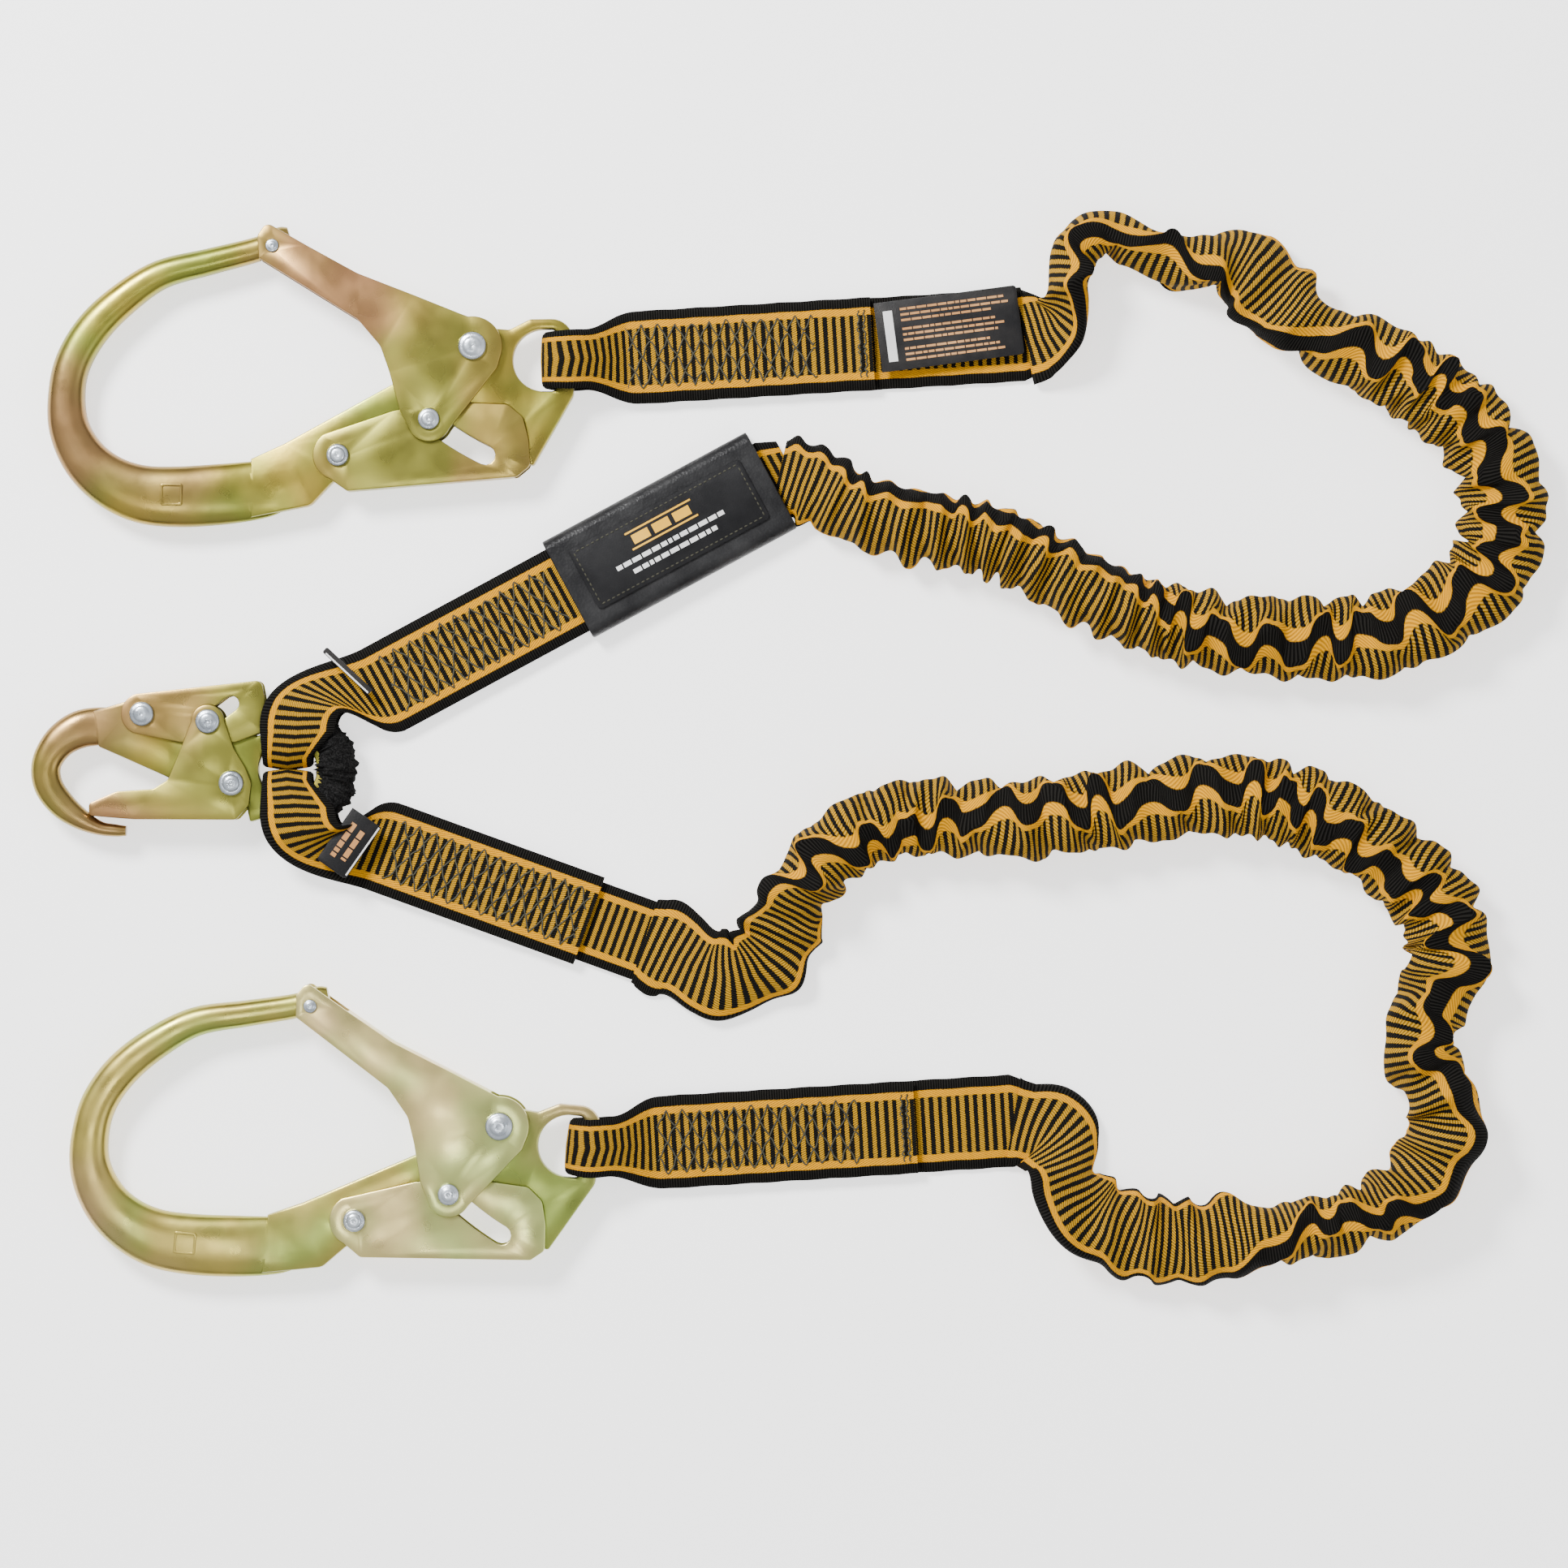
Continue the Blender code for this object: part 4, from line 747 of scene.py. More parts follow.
def anchor_hook(side, pivot, turn, forged, pressed):
    prefix, body = "anchor_hook_" + side, "anchor_" + side
    k = ANCHOR_SCALE
    place = placed((*pivot, MID_Z), turn)
    lever_at = scaled([A_LEVER_PIVOT], k)[0]
    lock = scaled([A_LOCK_PIN], k)[0]
    tip = scaled([A_TIP_PIN], k)[0]
    outline = rounded([(-93, -47), (-79, -40.6, 12), (-13, -4.3)]
                      + arc((0, 0), 11, 185, 45, 24)
                      + [(15.4, 7.2, 3), (24, 11.6, 4), (42, 11.9, 9), (42.3, -20.3, 5), (25.2, -50.4, 1.5),
                         (22, -48), (19.2, -33, 2)]
                      + arc((0, 0), 29, -60, -123, 16)
                      + [(-26.5, -26, 1.5), (-29, -34, 4), (-45, -50, 6), (-59, -57, 4), (-68, -66.5, 6),
                         (-93, -71.5)], 8)
    eye = rounded(arc(A_EYE, A_EYE_RADIUS, 90, 270, 28) + [(35, -18.6, 2), (35, 7.4, 2)], 6)
    hook_body(prefix, scaled(outline, k), scaled(eye, k), scaled(A_BOW, k), tip,
              [((0, 0), RIVET_HOLE, 7.7), (lever_at, RIVET_HOLE, 6.9)], place, forged, body)
    stamped_square(prefix + "_stamp", scaled([(-126, -62)], k)[0], 9.5, 6.6, place, forged, body)

    gate = rounded([(-89.3, 36.8, 1), (-90, 46.2, 3), (-86.1, 51.8, 3), (-69.7, 42.4), (-48, 30.5, 20),
                    (-24.5, 21.4, 20), (-5, 13.6)]
                   + arc((0, 0), 12.5, 98, -18, 20)
                   + [(10.4, -9, 3)] + arc(A_LOCK_PIN, 9.5, -25, -140, 16)
                   + [(-30.5, -26.6, 6), (-34.7, -10.9, 10), (-38.5, 0, 8), (-48, 11.2, 8)], 8)
    gate_space = [(-110, 70), (-68, 70), (-68, 39.2), (-48, 28.3), (-24.5, 19.2), (-5.2, 11.6), (-5.2, 40),
                  (50, 40), (50, -70), (-110, -70)]
    channel(prefix + "_gate", scaled(gate, k), scaled(gate_space, k), 6.4, 8.0, place, pressed,
            body + "_gate", [circle((0, 0), RIVET_HOLE, 32), circle(lock, 3.8, 32), circle(tip, 2.1, 24)])

    lever = rounded(arc(A_LEVER_PIVOT, 10.5, 250, 125, 20)
                    + [(-32.2, -26.6, 12), (-2.5, -23.5, 20), (14.7, -24.2, 4), (21, -29.4, 4),
                       (23.5, -38.9, 8), (24.2, -50, 3), (18.6, -54.6, 2), (-52.5, -60.6, 3)], 8)
    lever_space = [(-95, 10), (-95, -85), (-54.5, -85), (-53, -58.6), (17.4, -52.6), (18.4, -85), (60, -85),
                   (60, 10)]
    slot = polar_slot(pin_path(lock, lever_at, ANCHOR_GATE_TRAVEL, ANCHOR_LEVER_TRAVEL), 4.2)
    channel(prefix + "_lever", scaled(lever, k), scaled(lever_space, k), 4.4, 6.0, place, pressed,
            body + "_lever", [circle(lever_at, RIVET_HOLE, 32), slot])

    at = shifted(place, lever_at)
    rivet(prefix + "_gate_rivet", place, body + "_gate", 3.2, 6.0, HEAD_UNDER, HEAD_TOP)
    rivet(prefix + "_lever_rivet", at, body + "_lever", 3.2, 4.8, 6.3, 8.8)
    for pin, spot, *sizes in (("_lock_pin", lock, 3.5, 4.6, HEAD_UNDER, 10.2),
                              ("_tip_pin", tip, 1.8, 2.8, HEAD_UNDER, 9.3)):
        rivet(prefix + pin, shifted(place, spot), body + "_gate", *sizes)
    coil(prefix + "_gate_spring", place, body, 5.7, 0.7)
    coil(prefix + "_lever_spring", at, body, 5.2, 0.65)


def snap_hook():
    prefix = body = "harness_hook"
    place = placed((*SNAP_PIVOT, MID_Z))
    hole = 3.1
    outline = rounded([(-60, 31)] + arc(S_LEVER_PIVOT, 7.3, 110, 0, 16)
                      + [(-26, 21, 4)] + arc((0, 0), 23, 128, 62, 20)
                      + [(15.8, 21.8), (15.8, 38, 2), (21.4, 38, 2)]
                      + arc(S_RING, S_RING_OUTER, 97, -112, 60)
                      + [(15.5, -14.5), (7.5, -16.8, 1), (6.5, -11)]
                      + arc((0, 0), 9.5, -60, -165, 16)
                      + [(-14, -3.2, 3), (-28.4, 2.8, 10), (-57.8, 15.8, 2)], 8)
    hook_body(prefix, outline, circle(S_RING, S_RING_HOLE, 60), S_BOW, None,
              [((0, 0), hole, 7.2), (S_LEVER_PIVOT, hole, 5.9)], place, MATS["forged"], body)
    gate = rounded([(-61.3, -8.6, 2), (-61.3, -14, 2), (-42, -15.6), (2, -15.8, 3), (7.4, -9.6, 3),
                    (8.6, 0, 4), (6, 6.7, 3), (1, 15, 6)]
                   + arc(S_LOCK_PIN, 7.2, 0, 180, 20)
                   + [(-22, 14.4, 8), (-27.4, 1.4, 4), (-33.6, -2.5, 4), (-49.4, -3.5, 8)], 8)
    gate_space = [(-80, 60), (-80, -6), (-59.6, -12.2), (-42, -13.6), (0.5, -13.8), (0.5, -40), (40, -40),
                  (40, 60)]
    channel(prefix + "_gate", gate, gate_space, 6.3, 7.8, place, MATS["pressed"], "harness_gate",
            [circle((0, 0), hole, 32), circle(S_LOCK_PIN, 2.9, 24)])
    lever = rounded(arc(S_LEVER_PIVOT, 9, 245, 105, 16)
                    + [(12.8, 44.4, 3), (15, 31.5, 4), (13.2, 22, 3), (1.4, 17.5, 4), (-22, 17.5, 10)], 8)
    lever_space = [(-70, 0), (-70, 60), (-39.5, 60), (-38.5, 37.6), (11, 42.2), (11, 60), (60, 60), (60, 0)]
    slot = polar_slot(pin_path(S_LOCK_PIN, S_LEVER_PIVOT, SNAP_GATE_TRAVEL, SNAP_LEVER_TRAVEL), 3.3)
    channel(prefix + "_lever", lever, lever_space, 4.4, 5.9, place, MATS["pressed"], "harness_lever",
            [circle(S_LEVER_PIVOT, hole, 32), slot])
    at = shifted(place, S_LEVER_PIVOT)
    rivet(prefix + "_gate_rivet", place, "harness_gate", 2.8, 5.4, 8.0, HEAD_TOP)
    rivet(prefix + "_lever_rivet", at, "harness_lever", 2.8, 5.2, 6.3, 8.6)
    rivet(prefix + "_lock_pin", shifted(place, S_LOCK_PIN), "harness_gate", 2.6, 5.2, 8.0, 10.2)
    coil(prefix + "_gate_spring", place, body, 5.3, 0.65)
    coil(prefix + "_lever_spring", at, body, 4.8, 0.6)


# ---- webbing -------------------------------------------------------------------------------------
COLUMNS = 44
HALF_WEB = WEB_WIDTH / 2
LAYER_HALF = 1.7              # half the thickness of one flat layer


def web_coordinates():
    """For each column round the tube: its place across the flat width, -1 to 1, and its side, 1 or -1."""
    v = np.arange(COLUMNS) / COLUMNS
    x = np.where(v < 0.5, 1 - 4 * v, 4 * v - 3)
    side = np.where((v > 0) & (v < 0.5), 1.0, np.where(v > 0.5, -1.0, 0.0))
    return x, side


def ribbon(name, stations, body, stands_for, chevron):
    """A flat tubular web, one ring of COLUMNS for each (centre, across, width, crease) station. It thins with
    crease and over its last few stations, which lie inside the leg."""
    x, side = web_coordinates()
    verts, uv = [], []
    along = 0.0
    for i, (centre, across, width, crease) in enumerate(stations):
        centre = Vector(centre)
        if i:
            along += (centre - Vector(stations[i - 1][0])).length
        ahead = Vector(stations[min(i + 1, len(stations) - 1)][0])
        behind = Vector(stations[max(i - 1, 0)][0])
        across = Vector(across).normalized()
        normal = (ahead - behind).cross(across).normalized()
        tail = min(1, 0.3 + 0.14 * (len(stations) - 1 - i))
        half_thick = (LAYER_HALF - 0.5 * min(1, crease)) * tail
        for column, face in zip(x, side):
            thick = half_thick * max(0.0, 1 - abs(column) ** 7) ** 0.5 * face
            dent = -crease * max(0.0, 1 - abs(column) * 1.15) ** 1.2
            verts.append(centre + across * (column * width / 2) + normal * (thick + dent))
            uv.append((along + chevron * crease * (1 - abs(column)) ** 1.3, column * HALF_WEB))
    faces = tube_faces(len(stations), COLUMNS)
    return new_object(name, world(verts), faces, MATS["webbing"], body, stands_for, uv, 70)


STITCH_ROWS = (-10.2, -3.4, 3.4, 10.2)
STITCH_TOP = 7.35


def zigzag(name, start, along, square, reach, rows, top=STITCH_TOP, amplitude=3.5, pitch=7.4):
    """Rows of mirrored zigzag stitching between two lengths of a strap, as raised thread."""
    curve = bpy.data.curves.new(name, "CURVE")
    curve.dimensions = "3D"
    curve.bevel_depth = 0.36 * MM
    curve.bevel_resolution = 1
    curve.use_fill_caps = True
    for number, row in enumerate(rows):
        points = []
        steps = int((reach[1] - reach[0]) / 0.45)
        for k in range(steps + 1):
            s = reach[0] + (reach[1] - reach[0]) * k / steps
            saw = abs((s / pitch + 0.5 * (number % 2)) % 1.0 - 0.5) * 4 - 1
            wobble = 0.35 * math.sin(s * 1.9 + number * 2.1) + 0.25 * math.sin(s * 0.7 + number)
            lift = 0.30 * abs(math.sin(math.pi * s / (pitch / 6))) - 0.12
            points.append(start + along * (s + 0.3 * math.sin(s * 1.3 + number))
                          + square * (row + saw * amplitude + wobble) + Vector((0, 0, top + lift)))
        spline = curve.splines.new("POLY")
        spline.points.add(len(points) - 1)
        spline.points.foreach_set("co", [value for point in world(points) for value in (*point, 1)])
    curve.materials.append(MATS["stitch"])
    settle(linked(name, curve), "webbing")


def flat(point):
    return Vector((point[0], point[1], 0))


TOP_LAYER = 5.6
LOW_LAYER = 1.9
WEB_STEP = 1.2                # between the rings of a flat web
EYE_CREASE = 1.1


def anchor_strap(side, pivot, hook_turn, seam, end, sewn_from):
    """The web comes from the leg, runs under, round the eye bar and back on top to the seam.

    sewn_from holds where the stitching starts and stops, along the strap from the bar.
    """
    bar = Vector(scaled([A_BAR], ANCHOR_SCALE)[0])
    bar.rotate(Matrix.Rotation(math.radians(hook_turn), 2))
    at = Vector((pivot[0] + bar[0], pivot[1] + bar[1], 0))
    out = direction(hook_turn)
    hook_across = to_left(out)
    along = (flat(seam) - at).normalized()
    square = to_left(along)
    sewn = (flat(seam) - at).length
    whole = sewn + (flat(end) - flat(seam)).length
    middle = LOOP_INNER + LAYER_HALF - 0.4

    def leaf(s, height, top):
        """One station of the top or bottom layer, s along the strap from the bar."""
        ease = eased((30 - s) / 29)
        z = height + (MID_Z + (middle if top else -middle) - height) * ease
        wide = (WEB_WIDTH + 0.25 * math.sin(s * 0.35) - (WEB_WIDTH - EYE_WEB) * eased((31 - s) / 23)
                - max(0.0, s - whole) * 0.9)
        spot = at + along * s
        lean = square.lerp(hook_across, ease)
        z += 0.12 * math.sin(s * 0.9) * (1 - ease)
        return ((spot[0], spot[1], z), lean, wide, EYE_CREASE * ease ** 0.7)

    stations = [leaf(s, TOP_LAYER, True) for s in np.arange(sewn + WEB_STEP, 0.9, -WEB_STEP)]
    bends = 36
    for i in range(1, bends):
        a = math.radians(90 + 180 * i / bends)
        spot = at + out * (middle * math.cos(a))
        wide = EYE_WEB - 1.2 * math.sin(math.pi * i / bends)
        stations.append(((spot[0], spot[1], MID_Z + middle * math.sin(a)), hook_across, wide,
                         EYE_CREASE * (1 - 0.7 * math.sin(math.pi * i / bends))))
    stations += [leaf(s, LOW_LAYER, False) for s in np.arange(WEB_STEP, whole + 11, WEB_STEP)]
    ribbon("anchor_web_" + side, stations, "webbing", ["anchor_loop_" + side, "anchor_strap_" + side], 1.8)
    zigzag("anchor_stitch_" + side, at, along, square, sewn_from, STITCH_ROWS)
    for step, name in enumerate(("seam_a", "seam_b")):
        spot = at + along * (sewn - 2.0 - 2.5 * step)
        zigzag(f"anchor_{name}_{side}", spot, square, along, (-14.5, 14.5), [0], top=7.3, amplitude=0.25,
               pitch=2.4)
    sleeve(side, at, out, hook_across)


def sleeve(side, at, out, across):
    """The wear pad between the eye bar and the loop."""
    verts = []
    steps = 40
    for i in range(steps + 1):
        a = math.radians(50 + 260 * i / steps)
        reach = out * math.cos(a) + Vector((0, 0, math.sin(a)))
        for r, s in ((PAD_INNER, -1), (PAD_INNER, 0), (PAD_INNER, 1), (7.0, 1), (7.1, 0), (7.0, -1)):
            verts.append(at + Vector((0, 0, MID_Z)) + reach * r + across * (12.2 * s))
    faces = tube_faces(steps + 1, 6)
    new_object("anchor_pad_" + side, world(verts), faces, MATS["pad"], "webbing",
               ["anchor_wear_pad_" + side], sharp=50)


RING_WEB = 32.0               # the web's width over the ring's top and bottom
HOLE_WEB = 21.5               # and bunched in the ring's hole
RING_LEAN = 4.6               # the loops lean to the straps' side of the ring by this
RING_CREASE = 1.2
LOW_WEB = 35.5                # the lower layers are narrower, so that they hide under the upper ones


def strap_start(point, turn):
    """Where a harness strap through the point meets the fold, and how far the point is from there."""
    reach = (point[0] - HARNESS_FOLD_X) / direction(turn)[0]
    return flat(point) - direction(turn) * reach, reach


def harness_strap(side, ring_side, hinge, turn, doubled, whole, seam_rows):
    """Top and bottom layers of one sewn harness strap, the loop round the ring, and the stitching.

    Lengths are along the strap from the fold: doubled is the top layer's, whole is the bottom layer's, and
    seam_rows is where the stitching starts and stops.
    """
    along = direction(turn)
    square = to_left(along)
    ring = Vector((SNAP_PIVOT[0] + S_RING[0], SNAP_PIVOT[1] + S_RING[1], 0))
    arm = (S_RING_OUTER + S_RING_HOLE) / 2
    outward = Vector((0, ring_side, 0))
    over = ring + outward * arm
    reach, rise = 14.6, 8.6

    def spread(a):
        """The web's width and sideways shift at angle a of its turn over the ring, bunched in the hole."""
        open_share = max(0.0, (abs(a) - 40) / 50) ** 1.2
        return HOLE_WEB + (RING_WEB - HOLE_WEB) * open_share, RING_LEAN * open_share

    def curl(t, top):
        """One station between the strap's end, t = 0, and the top or bottom of the ring, t = 1."""
        last = over + Vector((RING_LEAN, 0, 0))
        spot = ((1 - t) ** 3 * hinge + 3 * t * (1 - t) ** 2 * (hinge - along * 17)
                + 3 * t * t * (1 - t) * (last + outward * 22) + t ** 3 * last)
        ease = eased(t)
        base = TOP_LAYER if top else LOW_LAYER
        z = base + (MID_Z + (rise if top else -rise) - base) * min(1, ease * 1.15)
        lean = square.slerp(Vector((-ring_side, 0, 0)), ease)
        wide = WEB_WIDTH - (WEB_WIDTH - RING_WEB) * t ** 1.5 - 1.2 * math.sin(math.pi * t)
        return ((spot[0], spot[1], z), lean, wide, RING_CREASE * t ** 1.5)

    layer_top = [((*(hinge + along * s)[:2], TOP_LAYER + 0.1 * math.sin(s * 0.8)), square, WEB_WIDTH, 0.0)
                 for s in np.arange(doubled, -0.1, -WEB_STEP)]
    loop = [curl(t, True) for t in np.linspace(0.03, 0.98, 40)]
    for a in np.linspace(90, -90, 49):
        wide, shift = spread(a)
        spot = over + Vector((shift, -ring_side * reach * math.cos(math.radians(a)), 0))
        z = MID_Z + rise * math.sin(math.radians(a))
        loop.append(((spot[0], spot[1], z), (-ring_side, 0, 0), wide, RING_CREASE))
    loop += [curl(t, False) for t in np.linspace(0.98, 0.03, 40)]
    low = []
    for s in np.arange(0.0, whole + 9, WEB_STEP):
        z = LOW_LAYER + (MID_Z - rise - LOW_LAYER) * eased((s - doubled + 12) / 12)
        low.append((*(hinge + along * s)[:2], z))
    low = [(spot, square, LOW_WEB - max(0, k + 8 - len(low)) * 1.1, 0.0) for k, spot in enumerate(low)]
    web = ribbon("harness_web_" + side, layer_top + loop + low, None,
                 ["harness_loop_" + side, "harness_strap_" + side], -0.6)
    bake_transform(web)
    zigzag("harness_stitch_" + side, hinge, along, square, seam_rows, STITCH_ROWS)


def lumpy_pad():
    """The fuzzy black pad that wraps the ring's right side between the loops."""
    ring = Vector((SNAP_PIVOT[0] + S_RING[0], SNAP_PIVOT[1] + S_RING[1], MID_Z))
    rings, sides = 60, 24
    bumps = np.random.default_rng(7).normal(size=(rings, sides))
    bumps = (bumps + np.roll(bumps, 1, 0) + np.roll(bumps, 1, 1) + np.roll(bumps, -1, 1)) / 2
    verts = []
    for i in range(rings):
        share = i / (rings - 1)
        reach = direction(-62 + 124 * share)
        taper = math.sin(math.pi * (0.06 + 0.88 * share)) ** 0.5
        centre = ring + reach * (21.5 + 0.8 * math.sin(9 * share))
        for k in range(sides):
            b = 2 * math.pi * k / sides
            swell = taper * (1 + 0.09 * bumps[i, k] + 0.05 * math.sin(share * 23 + b))
            lift = Vector((0, 0, math.sin(b) * 9.2 * swell))
            verts.append(centre + reach * math.cos(b) * 8.6 * swell + lift)
    new_object("harness_pad", world(verts), tube_faces(rings, sides), MATS["pad"], "harness_hook",
               ["harness_wear_pad"], sharp=80)


# share of the leg, roll from flat to standing, swing of the edges, wave length, half height, half width,
# fullness, depth of the pleats across a face
UPPER_LOOK = [
    (0, 0, 0, 15, 18, 1.7, 0, 0), (0.02, 10, 1, 14, 18, 5, 0.5, 1), (0.05, 30, 2.5, 13, 17, 9, 0.9, 2.2),
    (0.15, 42, 3.5, 13, 16, 11, 1, 2.6), (0.24, 52, 4.5, 15, 15, 12, 1, 2.4),
    (0.29, 78, 7, 20, 14, 14, 1, 1.2), (0.40, 92, 7.5, 21, 13, 15, 1, 1),
    (0.48, 100, 8, 22, 13, 15.5, 1, 1), (0.55, 96, 7.5, 19, 13, 15.5, 1, 0.8),
    (0.64, 84, 7.5, 20, 13, 15.5, 1, 0.8), (0.69, 70, 8, 26, 14, 14.5, 1, 1),
    (0.735, 88, 8, 30, 14, 12, 1, 1), (0.765, 40, 3, 30, 19, 10, 0.8, 3.4),
    (0.80, 28, 2, 28, 19, 9, 0.8, 3.6), (0.83, 86, 6, 34, 14, 9.5, 1, 1), (0.88, 92, 7, 34, 13, 8.5, 1, 1),
    (0.93, 86, 6.5, 30, 14, 8.5, 0.9, 1), (0.965, 50, 4, 30, 16, 6, 0.7, 1.4),
    (0.985, 14, 1.5, 40, 18, 3.5, 0.4, 0.6), (1, 0, 0, 40, 20, 1.7, 0, 0)]
LOWER_LOOK = [
    (0, 0, 0, 34, 20, 1.7, 0, 0), (0.02, 4, 1, 30, 20, 2.4, 0.2, 0.6),
    (0.06, 16, 2.5, 30, 19, 4.5, 0.4, 1.6), (0.10, 30, 3.5, 30, 18, 6.5, 0.6, 1.6),
    (0.13, 78, 7, 22, 14.5, 11, 0.9, 1.2), (0.18, 92, 8, 21, 13, 14, 1, 1),
    (0.26, 70, 6, 18, 14, 14, 1, 1.6), (0.33, 96, 8, 22, 13, 14.5, 1, 1), (0.44, 86, 7.5, 19, 13, 15, 1, 1),
    (0.55, 94, 8, 21, 13, 15.5, 1, 1), (0.61, 84, 8, 24, 14, 14, 1, 1), (0.65, 60, 5, 24, 16, 12, 0.9, 1.6),
    (0.69, 34, 3, 22, 18, 10, 0.8, 3.4), (0.73, 46, 4.5, 22, 17, 11, 0.9, 3),
    (0.78, 80, 7.5, 28, 15, 11, 1, 1.2), (0.83, 44, 4, 24, 17.5, 9.5, 0.8, 3.6),
    (0.90, 30, 3, 24, 18.5, 8, 0.8, 3.8), (0.95, 34, 3.5, 34, 18, 6, 0.6, 1.6),
    (0.98, 8, 1, 40, 20, 3, 0.3, 0.5), (1, 0, 0, 40, 20, 1.7, 0, 0)]
LEG_STEP = 0.62               # between the rings of a leg
LEG_CALM = 60                 # the legs roll less than this near their ends
CREASE_SPAN = 46              # creases share out the web's spare length over this much of a leg
REST_SPAN = 26                # a leg's stretches rest on the floor over this length
REST_GAP = 0.35


def slow_wave(s, *terms):
    """A sum of sines that drifts like chance but is the same each run."""
    return sum(size * np.sin(s / span + start) for size, span, start in terms)


def running_mean(values, window):
    """The mean over a window of rings, for one value or one row of values at each ring."""
    values = values.reshape(len(values), -1)
    half = window // 2
    ends = np.repeat(values[:1], half, 0), np.repeat(values[-1:], window - half, 0)
    padded = np.concatenate([ends[0], values, ends[1]])
    total = np.cumsum(padded, axis=0)
    return (total[window:] - total[:-window])[:len(values)] / window


def web_lengths(spots, crease):
    """The web's own length at each vertex: natural on the puffs, and the rest taken up in the creases."""
    window = int(CREASE_SPAN / LEG_STEP)
    moved = np.linalg.norm(np.diff(spots, axis=0, prepend=spots[:1]), axis=2)
    usual = running_mean(moved, window)
    shared = usual.mean(axis=1, keepdims=True)
    spare = np.maximum(0, shared - usual) * (crease + 0.02) / running_mean(crease + 0.02, window)
    along = np.cumsum(moved * np.minimum(1, shared / np.maximum(usual, 1e-6)) + spare, axis=0)
    middle = along.mean(axis=1, keepdims=True)
    return along - running_mean(along - middle, window)


def rest_on_floor(spots):
    """Let each ring of a leg down to the floor, half by its own lowest point and half by a smoothed one."""
    lowest = spots[:, :, 2].min(axis=1)
    window = int(REST_SPAN / LEG_STEP)
    half = window // 2
    padded = np.pad(lowest, half, mode="edge")
    smooth_low = np.convolve(padded, np.ones(window) / window, mode="same")[half:half + len(lowest)]
    spots[:, :, 2] -= (smooth_low * 0.5 + lowest * 0.5)[:, None]
    spots[:, :, 2] = np.maximum(spots[:, :, 2], 0) + REST_GAP


def leg_course(route):
    """A leg's length, and its points at even distances along a smooth curve through the route."""
    coarse = smooth_line([(x, y, 0) for x, y in route], 30)
    length = sum((b - a).length for a, b in zip(coarse, coarse[1:]))
    return length, np.array([tuple(p) for p in even_line(coarse, int(length / LEG_STEP))])


def gathers(line, length, look, drift):
    """Where each column of each ring of a leg lies, and how deep it is in a crease."""
    s = np.linspace(0, length, len(line))
    ahead = np.gradient(line, axis=0)
    ahead /= np.linalg.norm(ahead, axis=1)[:, None]
    beside = np.stack([-ahead[:, 1], ahead[:, 0], np.zeros(len(line))], 1)
    up = np.array([0.0, 0.0, 1.0])

    # the look at each ring, with slow waves for chance
    table = np.array(look, dtype=float)
    knots = table[:, 0] * length
    columns = [np.interp(s, knots, table[:, k]) for k in range(1, 8)]
    roll, swing, wave, tall, thick, round_share, pleats = columns
    free = np.clip(np.minimum(s, length - s) / LEG_CALM, 0, 1)
    roll = np.radians(roll + 19 * free * slow_wave(s, (1, 31, drift), (0.7, 17, 2 * drift), (0.4, 71, 1.0)))
    wave = wave * (1 + 0.22 * slow_wave(s, (1, 13, 3 + drift), (0.6, 41, drift)))
    theta = np.cumsum(2 * np.pi * LEG_STEP / wave) + 4 * drift
    swing = 1.2 * swing * (1 + 0.17 * slow_wave(s, (1, 9.5, drift), (0.8, 17, 2.0), (0.5, 37, drift)))
    puff = 1 + 0.20 * slow_wave(s, (1, 7.1, 5 * drift), (0.7, 15, drift))

    # the two edges meander together, most at the edges themselves
    x, face = (row[None, :] for row in web_coordinates())
    soft = round_share[:, None]
    th = theta[:, None] + 0.9 * x * soft
    edge = 0.14 + 0.86 * np.abs(x) ** 1.5
    bend = np.sin(th) + 0.24 * np.sin(1.618 * th + drift)
    meander = swing[:, None] * edge * bend
    overhang = -0.13 * swing[:, None] * edge * np.sin(2 * th)

    # the faces go from flat to round, ridge across, and pull in where the edge swings past them
    thick = thick * (1 + 0.19 * round_share)
    tall_now = tall[:, None] * (1 + 0.09 * np.sin(1.3 * th + drift))
    turn = np.pi / 2 * x * (1 + 0.3 * (1 - np.abs(x)) * np.abs(x))
    q = tall_now * ((1 - soft) * x + soft * np.sin(turn))
    flat_part = np.maximum(0, 1 - np.abs(x) ** 7) ** 0.5
    bulge = (1 - soft) * flat_part + soft * np.maximum(0, np.cos(turn)) ** 0.92
    near_edge = 1 - np.abs(np.cos(0.5 * (th + np.pi / 2 * face))) ** 0.8
    gather = np.minimum(1, swing[:, None] / 6) * puff[:, None]
    flare = 1.10 - 0.42 * soft * near_edge * gather
    arch = np.cos(np.pi / 2 * x * 0.96) ** 0.6
    ridge = soft * arch * (pleats[:, None] * np.sin(th + 2.0 * face + 1.1 * x)
                           + 0.45 * puff[:, None] * np.sin(2.1 * th + 2.4 * x + 1.4 * face))
    p = face * (thick[:, None] * bulge * flare + ridge) + meander
    wide_axis = beside * np.cos(roll)[:, None] + up * np.sin(roll)[:, None]
    thick_axis = beside * np.sin(roll)[:, None] - up * np.cos(roll)[:, None]
    spots = (line[:, None, :] + ahead[:, None, :] * overhang[..., None]
             + wide_axis[:, None, :] * q[..., None] + thick_axis[:, None, :] * p[..., None])
    return spots, near_edge * np.cos(np.pi / 2 * x)


